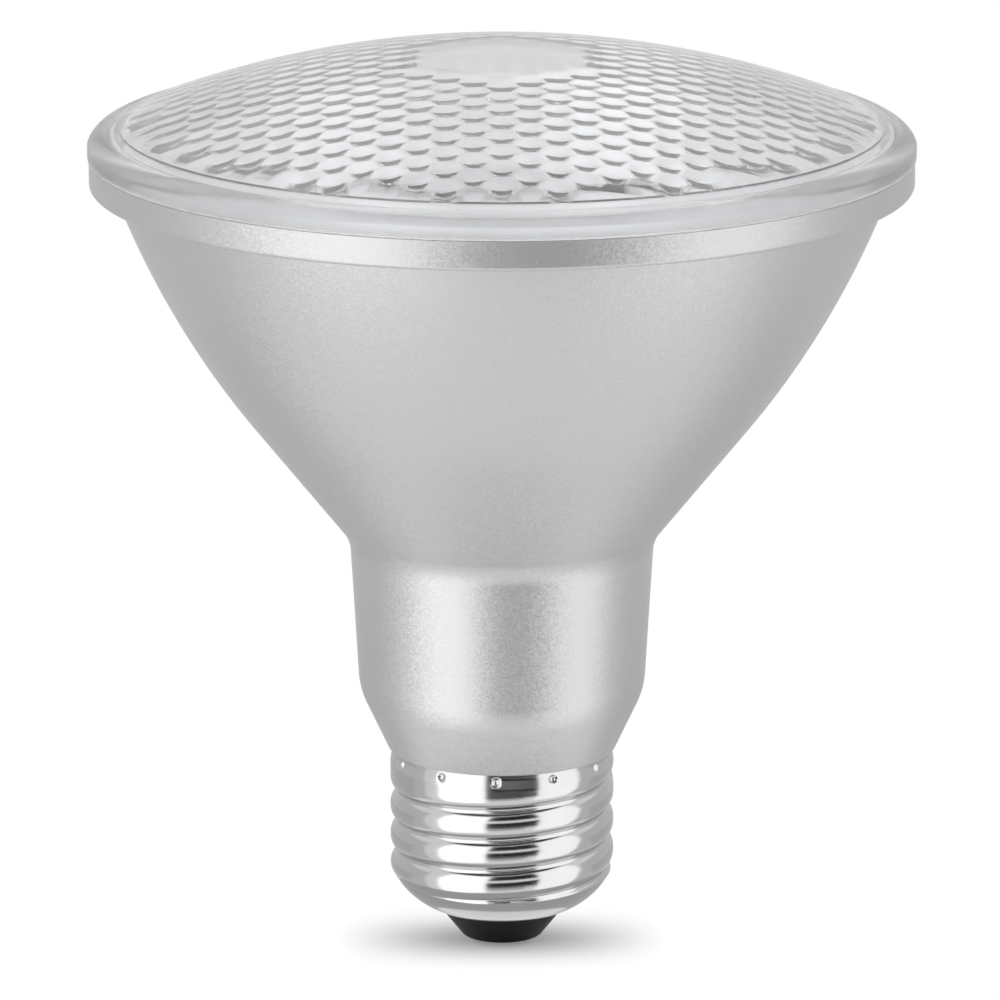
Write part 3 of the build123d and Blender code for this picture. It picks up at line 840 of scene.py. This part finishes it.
@dataclass
class Lens:
    """Domed lens with a stepped edge, a spigot and a honeycomb of pillows on its inside, in millimetres.

    The steps between the columns and between the rows of the honeycomb are in sides of a tile.
    """

    COLUMN_STEP = 1.5
    ROW_STEP = sqrt(3)

    radius: float = reach_of("lens")
    top_z: float = top_of("lens")
    seat_z: float = top_of("housing")
    seat_gap: float = 0.03
    spigot_z: float = foot_of("lens")
    spigot_radius: float = reach_of("lens_seal")
    spigot_wall: float = 1.2
    edge_height: float = 1.5
    edge_round: float = 0.25
    shoulder_width: float = 2.3
    shoulder_rise: float = 1.5
    shoulder_bulge: float = 0.45
    land_width: float = 1.3
    land_rise: float = 0.4
    land_step: float = 0.25
    thickness: float = 2.4
    pattern_margin: float = 2.3
    join_margin: float = 0.5
    tile_side: float = 2.02
    tile_cuts: int = 1
    tile_weld: float = 0.04
    pillow_height: float = 0.5
    pillow_step: float = 0.1
    smooth_rings: int = 3
    crease: float = 40.0
    dome_parts: int = 48
    land_parts: int = 3
    bulge_parts: int = 12
    inner_parts: int = 4

    def __post_init__(self) -> None:
        """Work out the levels, the dome and the extent of the honeycomb from the sizes."""
        self.edge_z = self.seat_z + self.edge_height
        self.shoulder_z = self.edge_z + self.shoulder_rise
        self.land_z = self.shoulder_z + self.land_rise
        self.foot_z = self.land_z + self.land_step
        self.shoulder_radius = self.radius - self.shoulder_width
        self.foot_radius = self.shoulder_radius - self.land_width
        dome_rise = self.top_z - self.foot_z
        dome_radius = (self.foot_radius**2 + dome_rise**2) / (2 * dome_rise)
        self.centre_z = self.top_z - dome_radius
        self.inner_radius = dome_radius - self.thickness
        self.spigot_bore = self.spigot_radius - self.spigot_wall
        self.pattern_radius = self.foot_radius - self.pattern_margin
        self.columns = int(self.pattern_radius / (self.COLUMN_STEP * self.tile_side)) + 1

    def inner(self, radius: float) -> Point:
        """Point of the smooth inside at a distance from the axis."""
        return radius, self.centre_z + sqrt(self.inner_radius**2 - radius**2)

    def outline(self) -> list[Point]:
        """Outline from the top of the dome round the edge to the ring that the honeycomb joins.

        Returns:
            The points of the outline.
        """
        centre = Vector((0, self.centre_z))
        shoulder = (self.shoulder_radius, self.shoulder_z)
        edge = (self.radius, self.edge_z)
        underside = self.seat_z + self.seat_gap
        spigot_end = self.spigot_z + self.seat_gap
        join = self.inner(self.pattern_radius + self.join_margin)
        half = hypot(edge[0] - shoulder[0], edge[1] - shoulder[1]) / 2
        bulge_radius = (half**2 + self.shoulder_bulge**2) / (2 * self.shoulder_bulge)
        bulge_centre = bend_centre(edge, shoulder, bulge_radius)
        return [
            *arc_about(centre, (0.0, self.top_z), (self.foot_radius, self.foot_z), self.dome_parts),
            *straight((self.foot_radius, self.land_z), shoulder, self.land_parts),
            *arc_about(bulge_centre, shoulder, edge, self.bulge_parts),
            *rounded((self.radius, underside), edge, (self.spigot_radius, underside), self.edge_round),
            (self.spigot_radius, underside),
            (self.spigot_radius, spigot_end),
            (self.spigot_bore, spigot_end),
            *arc_about(centre, self.inner(self.spigot_bore), join, self.inner_parts),
        ]

    def honeycomb(self) -> ShapeTree:
        """Geometry Nodes tree that adds the honeycomb to the turned lens.

        Returns:
            The tree, ready to bake.
        """
        tree = ShapeTree("honeycomb", CLEAR_LENS)
        side = tree.length("Tile side", self.tile_side)
        pattern = tree.length("Pattern radius", self.pattern_radius)
        weld = tree.length("Tile weld", self.tile_weld)
        height = tree.length("Pillow height", self.pillow_height)
        step = tree.length("Pillow step", self.pillow_step)
        sphere = tree.length("Dome radius", self.inner_radius)
        centre = tree.length("Dome centre", self.centre_z)
        reach = tree.count("Columns each way", self.columns)
        rings = tree.count("Smooth rings", self.smooth_rings)
        cuts = tree.named("Tile cuts", self.tile_cuts, "NodeSocketInt")
        x, y, _ = tree.position()
        out = (x.square() + y.square()).root()

        # Middles of the cells, in columns and slanted rows counted from the lamp's axis
        across = reach * 2.0 + 1.0
        grid = tree.node("GeometryNodeMeshGrid", {"Vertices X": across, "Vertices Y": across})
        index = tree.field(tree.node("GeometryNodeInputIndex"))
        column = (index / across).floor() - reach
        row = index - (column + reach) * across - reach
        slanted = row + column * 0.5
        middle = tree.join(column * side * self.COLUMN_STEP, slanted * side * self.ROW_STEP, 0.0)
        ring = column.size().most(row.size()).most((column + row).size())
        marked = tree.store(tree.move(grid.outputs["Mesh"], middle), "raised", ring > rings + 0.5)
        outside = {"Geometry": marked, "Selection": out + side > pattern}
        cells = tree.node("GeometryNodeDeleteGeometry", outside, domain="POINT")

        # One flat tile on each cell, welded to its neighbours
        hexagon = {"Vertices": 6, "Radius": side}
        disc = tree.node("GeometryNodeMeshCircle", hexagon, fill_type="TRIANGLE_FAN")
        fine = tree.node("GeometryNodeSubdivideMesh", {"Mesh": disc.outputs[0], "Level": cuts})
        tile = tree.store(fine.outputs[0], "from_middle", out / side)
        tiles = tree.node("GeometryNodeInstanceOnPoints", {"Points": cells.outputs[0], "Instance": tile})
        real = tree.node("GeometryNodeRealizeInstances", {"Geometry": tiles.outputs[0]})
        welded = tree.weld(real.outputs[0], weld)

        # Bent to the dome, with a pillow on each tile outside the smooth rings
        dome = (sphere.square() - out.square()).root() + centre
        pillow = step + (height - step) * (1.0 - tree.recall("from_middle").square())
        bent = tree.move(welded, tree.join(x, y, dome - pillow * tree.recall("raised")))
        tree.close(tree.beside_start(bent))
        return tree

    def build(self) -> None:
        """Turn the lens, close it with the honeycomb and put it in place."""
        mesh = self.honeycomb().bake(turned(self.outline(), closed=False))
        open_edges = [edge for edge in mesh.edges if edge.is_boundary]
        bmesh.ops.triangle_fill(mesh, edges=open_edges, use_beauty=True, normal=(0, 0, 1))
        fit(piece_from(mesh, "honeycomb_lens", CLEAR_LENS, self.crease), "lens")


@dataclass
class Housing:
    """Moulded silver body: spigot, shoulder, neck, cone, bowl and rim, in millimetres."""

    seam_z: float = top_of("screw_shell")
    wall: float = 2.0
    foot_radius: float = 13.3
    foot_round: float = 0.3
    foot_ring: float = 2.0
    shoulder_height: float = 7.2
    shoulder_bend: float = 9.0
    neck_foot_radius: float = 16.65
    neck_height: float = 18.1
    neck_top_radius: float = 17.7
    throat_bend: float = 5.0
    cone_height: float = 13.9
    cone_top_radius: float = 28.8
    bowl_height: float = 28.05
    bowl_top_radius: float = 44.6
    ledge_z: float = foot_of("lens_seal")
    rim_top_z: float = top_of("housing")
    rim_radius: float = reach_of("housing")
    rim_round: float = 0.5
    rim_wall: float = 2.05
    spigot_z: float = foot_of("housing")
    spigot_radius: float = 11.75
    spigot_wall: float = 1.6
    rail_overlap: float = 1.4
    rail_width: float = 1.2
    rail_clearance: float = 0.15
    inside_margin: float = 0.5
    bend_parts: int = 16
    bowl_parts: int = 40

    def __post_init__(self) -> None:
        """Work out the corners of the outline from the sizes."""
        self.ring_z = self.seam_z + self.foot_ring
        self.neck_z = self.seam_z + self.shoulder_height
        throat_z = self.neck_z + self.neck_height
        cone_z = throat_z + self.cone_height
        self.rim_z = cone_z + self.bowl_height
        self.foot = (self.foot_radius, self.seam_z)
        self.neck = (self.neck_foot_radius, self.neck_z)
        self.throat = (self.neck_top_radius, throat_z)
        self.cone = (self.cone_top_radius, cone_z)

    def skin(self) -> list[Point]:
        """Outer outline from the foot up to the bowl's upper edge.

        Returns:
            The points of the outline.
        """
        way = (self.cone[0] - self.throat[0], self.cone[1] - self.throat[1])
        return [
            *rounded(self.foot, (0, self.seam_z), self.neck, self.foot_round),
            *rounded(self.neck, self.foot, self.throat, self.shoulder_bend, self.bend_parts),
            *rounded(self.throat, self.neck, self.cone, self.throat_bend, self.bend_parts),
            *tangent_arc(self.cone, way, (self.bowl_top_radius, self.rim_z), self.bowl_parts),
        ]

    def inside_foot(self) -> Point:
        """Point where the inside of the shoulder meets the top of the foot ring.

        Returns:
            The point.
        """
        foot = Vector(self.foot)
        along = (Vector(self.neck) - foot).normalized()
        start = foot + Vector((-along.y, along.x)) * self.wall
        return tuple(start + along * ((self.ring_z - start.y) / along.y))

    def outline(self) -> list[Point]:
        """Whole outline, skin, rim, inside and spigot, as a closed loop.

        Returns:
            The points of the outline.
        """
        skin = self.skin()
        rim_corner = (self.rim_radius, self.rim_z)
        rim_top = (self.rim_radius, self.rim_top_z)
        rim_bore = self.rim_radius - self.rim_wall
        spigot_bore = self.spigot_radius - self.spigot_wall
        low, high = self.ring_z + self.inside_margin, self.rim_z - self.inside_margin
        inside = [point for point in inset(skin, self.wall) if low < point[1] < high]
        return [
            *skin,
            *rounded(rim_corner, (0, self.rim_z), rim_top, self.rim_round),
            rim_top,
            (rim_bore, self.rim_top_z),
            (rim_bore, self.ledge_z),
            (self.bowl_top_radius - self.wall, self.ledge_z),
            *inside[::-1],
            self.inside_foot(),
            (spigot_bore, self.ring_z),
            (spigot_bore, self.spigot_z),
            (self.spigot_radius, self.spigot_z),
            (self.spigot_radius, self.seam_z),
        ]

    def add_rails(self, mesh: bmesh.types.BMesh) -> None:
        """Add the four rails that hold the driver board.

        Args:
            mesh: The turned body.
        """
        board_low, board_high = (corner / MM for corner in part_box("driver_board"))
        inner = board_high.x - self.rail_overlap
        outer = self.neck_foot_radius - self.wall / 2
        aside = (board_high.y - board_low.y + self.rail_width) / 2 + self.rail_clearance
        middle_y = (board_low.y + board_high.y) / 2
        middle_z = (self.neck_z + board_high.z) / 2
        sizes = Matrix.Diagonal((outer - inner, self.rail_width, board_high.z - self.neck_z, 1))
        for x in (-(inner + outer) / 2, (inner + outer) / 2):
            for y in (middle_y - aside, middle_y + aside):
                place = Matrix.Translation(Vector((x, y, middle_z)) * MM)
                bmesh.ops.create_cube(mesh, size=MM, matrix=place @ sizes)

    def build(self) -> None:
        """Turn the body, add its rails and put it in place."""
        mesh = turned(self.outline(), closed=True)
        self.add_rails(mesh)
        fit(piece_from(mesh, "silver_body", SILVER_PAINT), "housing")


@dataclass
class ScrewBase:
    """Screw shell with its rolled thread and stake marks, insulator and contact, in millimetres."""

    contact_radius: float = reach_of("centre_contact")
    contact_height: float = foot_of("base_insulator")
    stem_radius: float = 1.5
    stem_top_z: float = top_of("centre_contact")
    stem_gap: float = 0.1
    tip_radius: float = 4.7
    tip_round: float = 0.5
    insulator_top_z: float = top_of("base_insulator")
    insulator_gap: float = 0.1
    mouth_radius: float = 8.3
    edge_z: float = foot_of("screw_shell")
    seam_z: float = top_of("screw_shell")
    bowl_height: float = 4.7
    bowl_bend: float = 9.0
    shell_wall: float = 0.5
    thread_radius: float = reach_of("screw_shell")
    thread_depth: float = 0.7
    pitch: float = 3.629
    crest_land: float = 0.3
    groove_floor: float = 0.3
    run_out_radius: float = 8.0
    rolled_z: float = 7.8
    foot_blend: float = 0.2
    collar_step: float = 0.2
    collar_height: float = 1.8
    collar_land: float = 0.1
    collar_taper: float = 1.2
    stakes: int = 12
    stake_turn: float = -3.0
    stake_depth: float = 0.3
    stake_drop: float = 0.85
    punch_radius: float = 0.55
    segments: int = 480
    pitch_rows: int = 24
    row_weld: float = 0.00015
    crease: float = 60.0
    taper_parts: int = 10
    collar_parts: int = 5
    bore_parts: int = 4
    inner_bowl_parts: int = 8
    bowl_parts: int = 16
    contact_parts: int = 16

    def __post_init__(self) -> None:
        """Work out the levels, the groove and the centre of the bowl's bend from the sizes."""
        self.collar_radius = self.thread_radius - self.collar_step
        self.collar_z = self.seam_z - self.collar_height
        self.bore_radius = self.thread_radius - self.thread_depth - self.shell_wall
        self.groove_half_width = (self.pitch - self.crest_land) / 2
        self.groove_top_z = self.collar_z - self.collar_land - self.groove_half_width
        self.mouth = (self.mouth_radius, self.edge_z)
        bowl_top = (self.thread_radius, self.edge_z + self.bowl_height)
        self.bend = bend_centre(self.mouth, bowl_top, self.bowl_bend)

    def bowl_foot(self, inset_by: float) -> Point:
        """Lower end of the bowl's arc, moved inwards."""
        away = (Vector(self.mouth) - self.bend).normalized()
        return tuple(self.bend + away * (self.bowl_bend - inset_by))

    def bowl_at(self, height: float, inset_by: float) -> Point:
        """Point of the bowl's arc, moved inwards, at a height."""
        return self.bend.x + sqrt((self.bowl_bend - inset_by) ** 2 - (self.bend.y - height) ** 2), height

    def plain_outline(self) -> list[Point]:
        """Outline of the shell without its thread, from the thread's top over the collar to its foot.

        Returns:
            The points of the outline.
        """
        collar = (self.collar_radius, self.collar_z + self.collar_taper)
        inside = self.bowl_bend - self.shell_wall
        bore_z = self.bend.y - sqrt(inside**2 - (self.bore_radius - self.bend.x) ** 2)
        bore_foot = (self.bore_radius, bore_z)
        rolled = self.bowl_at(self.rolled_z, 0)
        return [
            *straight((self.thread_radius, self.collar_z), collar, self.taper_parts),
            *straight(collar, (self.collar_radius, self.seam_z), self.collar_parts),
            *straight((self.bore_radius, self.seam_z), bore_foot, self.bore_parts),
            *arc_about(self.bend, bore_foot, self.bowl_foot(self.shell_wall), self.inner_bowl_parts),
            *arc_about(self.bend, self.bowl_foot(0), rolled, self.bowl_parts),
        ]

    def rolled_thread(self) -> ShapeTree:
        """Geometry Nodes tree that adds the thread to the plain shell and presses the stake marks.

        Returns:
            The tree, ready to bake.
        """
        tree = ShapeTree("rolled_thread", NICKEL)
        crest = tree.length("Thread radius", self.thread_radius)
        depth = tree.length("Thread depth", self.thread_depth)
        pitch = tree.length("Pitch", self.pitch)
        half_width = tree.length("Groove half width", self.groove_half_width)
        floor = tree.length("Groove floor", self.groove_floor)
        top = tree.length("Groove top", self.groove_top_z)
        run_out = tree.length("Run-out radius", self.run_out_radius)
        low = tree.length("Thread foot", self.rolled_z)
        high = tree.length("Thread top", self.collar_z)
        bowl_out = tree.length("Bowl centre distance", self.bend.x)
        bowl_level = tree.length("Bowl centre height", self.bend.y)
        bowl_bend = tree.length("Bowl bend", self.bowl_bend)
        blend = tree.length("Thread foot blend", self.foot_blend)
        weld = tree.length("Row weld", self.row_weld)
        punch = tree.length("Punch radius", self.punch_radius)
        punch_out = tree.length("Punch distance", self.collar_radius - self.stake_depth + self.punch_radius)
        level = tree.length("Stake height", self.seam_z - self.stake_drop)
        stake_turn = tree.named("Stake turn", radians(self.stake_turn))
        count = tree.count("Stakes", self.stakes)
        parts = tree.count("Parts of a turn", self.segments)
        pitch_rows = tree.count("Rows of a pitch", self.pitch_rows)

        # A sheet with rows along the helix, pressed level where they pass the thread's foot and top
        step = pitch / pitch_rows
        below = ((top - low) / step + pitch_rows * 0.5 + 1.0).floor()
        rows = below + ((high - top) / step + pitch_rows * 0.5 + 2.0).floor()
        grid = tree.node("GeometryNodeMeshGrid", {"Vertices X": parts + 1.0, "Vertices Y": rows})
        index = tree.field(tree.node("GeometryNodeInputIndex"))
        column = (index / rows).floor()
        angle = (column / parts - 0.5) * (2 * pi)
        row = index - column * rows - below
        z = (top + row * step + angle * pitch / (2 * pi)).most(low).least(high)

        # Depth of the groove, with round flanks, which runs out along an arc at its upper end
        turn = (top - z) / pitch + angle / (2 * pi)
        number = turn.nearest()
        flank = half_width - floor * 0.5
        bend = (flank.square() + depth.square()) / (depth * 2.0)
        past_crest = (half_width - (turn - number).size() * pitch).most(0.0).least(flank)
        cut = bend - (bend.square() - past_crest.square()).root()
        past_end = (angle * crest).most(0.0).square() * 0.5
        fade = (past_end / run_out + past_end / crest) * (number.size() < 0.5)
        groove = (cut - fade).most(0.0) * (number > -0.5)

        # The sheet bent round the lamp, and into the bowl at its foot
        under_bend = bowl_level - z.least(bowl_level)
        bowl = bowl_out + (bowl_bend.square() - under_bend.square()).root()
        out = tree.math("SMOOTH_MIN", bowl, crest - groove, blend)
        ring = tree.join(out * tree.math("COSINE", angle), out * tree.math("SINE", angle), z)
        shell = tree.weld(tree.beside_start(tree.move(grid.outputs["Mesh"], ring)), weld)

        # Stake marks: a ball pressed into the collar at equal turns
        x, y, z = tree.position()
        out = (x.square() + y.square()).root()
        share = (tree.math("ARCTAN2", y, x) - stake_turn) * count / (2 * pi)
        aside = (share - share.nearest()) * punch_out * (2 * pi) / count
        pressed = (punch.square() - aside.square() - (z - level).square()).most(0.0).root()
        staked = out.least(punch_out - pressed) / out
        tree.close(tree.move(shell, tree.join(x * staked, y * staked, z)))
        return tree

    def build_shell(self) -> None:
        """Turn the plain parts of the shell, roll its thread, press its stake marks and put it in place."""
        mesh = self.rolled_thread().bake(turned(self.plain_outline(), False, self.segments))
        fit(piece_from(mesh, "rolled_shell", NICKEL, self.crease), "screw_shell")

    def build_insulator(self) -> None:
        """Turn the insulator and put it in place."""
        bore = self.stem_radius + self.stem_gap
        inset_by = self.shell_wall + self.insulator_gap
        top = self.bowl_at(self.insulator_top_z, inset_by)
        tip = (self.tip_radius, self.contact_height)
        outline = [
            (bore, self.contact_height),
            *rounded(tip, (bore, self.contact_height), self.bowl_foot(inset_by), self.tip_round),
            *arc_about(self.bend, self.bowl_foot(inset_by), top, self.bowl_parts),
            (bore, self.insulator_top_z),
        ]
        button = piece_from(turned(outline, True), "insulator_button", BLACK_PLASTIC)
        fit(button, "base_insulator")

    def build_contact(self) -> None:
        """Turn the contact with its stem and put it in place."""
        tip, outwards = (0, 0), (1, 0)
        edge = (self.contact_radius, self.contact_height)
        outline = [
            *tangent_arc(tip, outwards, edge, self.contact_parts),
            (self.stem_radius, self.contact_height),
            (self.stem_radius, self.stem_top_z),
            (0, self.stem_top_z),
        ]
        cap = piece_from(turned(outline, False), "contact_cap", CONTACT_METAL)
        fit(cap, "centre_contact")

    def build(self) -> None:
        """Build all three pieces."""
        self.build_shell()
        self.build_insulator()
        self.build_contact()


@dataclass
class LightEngine:
    """Reflector with its flange, and the finishes of what stands in it and seals it.

    Sizes are in millimetres. Each middle is a point on the way of the bright arc or of the outer arc.
    """

    foot_radius: float = 15.613
    foot_z: float = foot_of("reflector")
    bright_middle: Point = (32.78, 79.43)
    outer_middle: Point = (34.0, 78.75)
    mouth_radius: float = 40.7
    mouth_z: float = foot_of("lens_seal")
    wall: float = 1.4
    flange_radius: float = reach_of("reflector")
    flange_z: float = top_of("reflector")
    bright_parts: int = 48
    outer_parts: int = 24
    finishes: tuple[tuple[str, Finish], ...] = (
        ("heat_sink", SINK_METAL),
        ("led_board", WHITE_MASK),
        ("leds", PHOSPHOR),
        ("board_screws", SCREW_STEEL),
        ("pin_socket", SOCKET_PLASTIC),
        ("output_pins", PIN_BRASS),
        ("lens_seal", GREY_RUBBER),
    )

    def outline(self) -> list[Point]:
        """Outline of the reflector as a closed loop.

        Returns:
            The points of the outline.
        """
        foot = (self.foot_radius, self.foot_z)
        mouth = (self.mouth_radius, self.mouth_z)
        outer_foot = (self.foot_radius + self.wall, self.foot_z)
        outer_mouth = (self.mouth_radius + self.wall, self.mouth_z)
        return [
            *arc_through(foot, self.bright_middle, mouth, self.bright_parts),
            (self.mouth_radius, self.flange_z),
            (self.flange_radius, self.flange_z),
            (self.flange_radius, self.mouth_z),
            *arc_through(outer_foot, self.outer_middle, outer_mouth, self.outer_parts)[::-1],
        ]

    def build(self) -> None:
        """Turn the reflector, put it in place and dress the rest."""
        reflector = piece_from(turned(self.outline(), True), "bright_reflector", MIRROR_COAT)
        fit(reflector, "reflector")
        dress(self.finishes)


@dataclass
class Driver:
    """Finishes of the driver in the neck, whose solids stay as they are."""

    finishes: tuple[tuple[str, Finish], ...] = (
        ("driver_board", BOARD_GREEN),
        ("transformer_core", FERRITE),
        ("transformer_winding", WINDING_TAPE),
        ("electrolytic_capacitor", CAN_SLEEVE),
        ("film_capacitor", FILM_CASE),
        ("bridge_rectifier", PACKAGE_BLACK),
        ("driver_chip", PACKAGE_BLACK),
        ("fuse_resistor", FUSE_BODY),
        ("live_lead", RED_SLEEVE),
        ("neutral_lead", WHITE_SLEEVE),
    )

    def build(self) -> None:
        """Dress the board, its components and the leads."""
        dress(self.finishes)


@dataclass
class Softbox:
    """A soft rectangular light: direction in degrees from the camera's side, and sizes in metres."""

    name: str
    azimuth: float
    width: float
    radiance: float
    height: float = 1.95
    distance: float = 0.9
    level: float = 0.1

    def build(self) -> None:
        """Hang the light, turned to the lamp."""
        light = bpy.data.lights.new(self.name, "AREA")
        light.shape = "RECTANGLE"
        light.size = self.width
        light.size_y = self.height
        light.energy = self.radiance * pi * self.width * self.height
        holder = bpy.data.objects.new(self.name, light)
        turn = radians(self.azimuth)
        away = Vector((sin(turn), -cos(turn), 0))
        holder.location = away * self.distance + Vector((0, 0, self.level))
        holder.rotation_mode = "QUATERNION"
        holder.rotation_quaternion = away.to_track_quat("Z", "Y")
        holder.visible_camera = False
        bpy.context.scene.collection.objects.link(holder)


@dataclass
class Card:
    """A card that only reflections show, bent round the lamp: an outline in metres, and ends in degrees."""

    name: str
    outline: tuple[Point, Point]
    left: float
    right: float
    brightness: float
    parts: int = 32

    def build(self) -> None:
        """Bend the card and hang it."""
        mesh = bmesh.new()
        rows: tuple[list[bmesh.types.BMVert], ...] = ([], [])
        for part in range(self.parts + 1):
            turn = radians(self.left + (self.right - self.left) * part / self.parts)
            for row, (radius, height) in zip(rows, self.outline):
                row.append(mesh.verts.new((radius * sin(turn), -radius * cos(turn), height)))
        low, high = rows
        for part in range(self.parts):
            mesh.faces.new((low[part], low[part + 1], high[part + 1], high[part]))
        material, graph = blank_material(self.name)
        tone = graph.node("ShaderNodeEmission", {"Strength": self.brightness})
        graph.node("ShaderNodeOutputMaterial", {"Surface": tone.outputs[0]})
        card = object_from(mesh, self.name, material)
        card.visible_camera = False
        card.visible_diffuse = False
        card.visible_transmission = False
        card.visible_shadow = False


@dataclass
class Studio:
    """White floor and surroundings, softboxes, cards that metal and paint reflect, and the camera.

    Places and sizes are in metres, angles in degrees, and the camera's lens and sensor in millimetres.
    """

    elevation: float = 14.569
    distance: float = 0.7828
    target_z: float = 0.053516
    focal_length: float = 242.41
    sensor_width: float = 36.0
    shift_x: float = -0.00195
    floor_size: float = 6.0
    floor_colour: Colour = (0.86, 0.86, 0.86)
    shadow_reach: float = 0.0105
    shadow_depth: float = 0.85
    shadow_width: float = 0.013
    shadow_samples: int = 16
    world_fill: float = 0.65
    boxes: tuple[Softbox, ...] = (
        Softbox("left_softbox", -43.0, 0.88, radiance=0.85),
        Softbox("right_softbox", 60.5, 0.79, radiance=0.57),
    )
    cards: tuple[Card, ...] = (
        Card("dark_card", ((0.55, -0.168), (0.55, 0.06)), -16.0, 37.0, 0.02),
        Card("low_grey_card", ((0.55, -0.3), (0.55, -0.168)), -14.0, 24.0, 0.6),
        Card("high_dark_card", ((0.55, 0.22), (0.55, 0.62)), -16.0, 37.0, 0.02),
        Card("grey_backdrop", ((1.2, -1.0), (1.2, 0.6)), 86.0, 274.0, 0.7),
        Card("dark_ceiling", ((0.01, 1.15), (0.9, 1.15)), -180.0, 180.0, 0.04),
        Card("shaded_floor", ((0.01, -0.001), (0.023, -0.001)), -180.0, 180.0, 0.5),
        Card("shaded_floor_behind", ((0.03, -0.001), (0.13, -0.001)), 95.0, 265.0, 0.6),
    )

    def build_floor(self) -> None:
        """Lay the floor. The camera sees it white, with a soft shadow where the lamp stands."""
        mesh = bmesh.new()
        bmesh.ops.create_grid(mesh, x_segments=1, y_segments=1, size=self.floor_size / 2)
        material, graph = blank_material("floor_white")
        reach = {"Distance": self.shadow_reach}
        near = graph.node("ShaderNodeAmbientOcclusion", reach, samples=self.shadow_samples)
        _, y, _ = graph.split(graph.node("ShaderNodeTexCoord").outputs["Object"])
        across = (1.0 - y.size() / self.shadow_width).most(0.0)
        fade = across.square() * (3.0 - across * 2.0)
        shadow = (1.0 - graph.field(near, "AO")) * fade * self.shadow_depth
        seen = graph.node("ShaderNodeEmission", {"Strength": 1.0 - shadow})
        plain = graph.node("ShaderNodeBsdfDiffuse", {"Color": (*self.floor_colour, 1.0)})
        camera_ray = graph.node("ShaderNodeLightPath").outputs["Is Camera Ray"]
        graph.node("ShaderNodeOutputMaterial", {"Surface": graph.blend(camera_ray, plain, seen)})
        floor = object_from(mesh, "floor", material)
        floor.visible_glossy = False
        floor.visible_transmission = False
        floor.visible_shadow = False

    def build_world(self) -> None:
        """Make surroundings that the camera, metal and clear plastic see as white, and a soft fill."""
        world = bpy.data.worlds.new("studio")
        world.use_nodes = True
        world.node_tree.nodes.clear()
        graph = Graph(world.node_tree)
        path = graph.node("ShaderNodeLightPath")
        seen = graph.field(path, "Is Camera Ray").most(graph.field(path, "Is Glossy Ray"))
        seen = seen.most(graph.field(path, "Is Transmission Ray"))
        strength = seen * (1.0 - self.world_fill) + self.world_fill
        light = graph.node("ShaderNodeBackground", {"Color": (1.0, 1.0, 1.0, 1.0), "Strength": strength})
        graph.node("ShaderNodeOutputWorld", {"Surface": light.outputs[0]})
        bpy.context.scene.world = world

    def build_camera(self) -> None:
        """Put the camera where the photograph was taken from."""
        tilt = radians(self.elevation)
        away = Vector((0, -cos(tilt), sin(tilt)))
        camera = bpy.data.objects.new("camera", bpy.data.cameras.new("camera"))
        camera.location = Vector((0, 0, self.target_z)) + away * self.distance
        camera.rotation_mode = "QUATERNION"
        camera.rotation_quaternion = away.to_track_quat("Z", "Y")
        camera.data.lens = self.focal_length
        camera.data.sensor_width = self.sensor_width
        camera.data.shift_x = self.shift_x
        bpy.context.scene.collection.objects.link(camera)
        bpy.context.scene.camera = camera

    def build(self) -> None:
        """Set up the studio."""
        self.build_floor()
        self.build_world()
        self.build_camera()
        for each in (*self.boxes, *self.cards):
            each.build()
        bpy.context.scene.view_settings.view_transform = "Standard"


def main() -> None:
    """Build the lamp's sub-assemblies in order, then the studio."""
    logging.basicConfig(level=logging.INFO, format="%(name)s: %(message)s")
    for assembly in (Lens(), Housing(), ScrewBase(), LightEngine(), Driver(), Studio()):
        assembly.build()


if __name__ == "__main__":
    main()
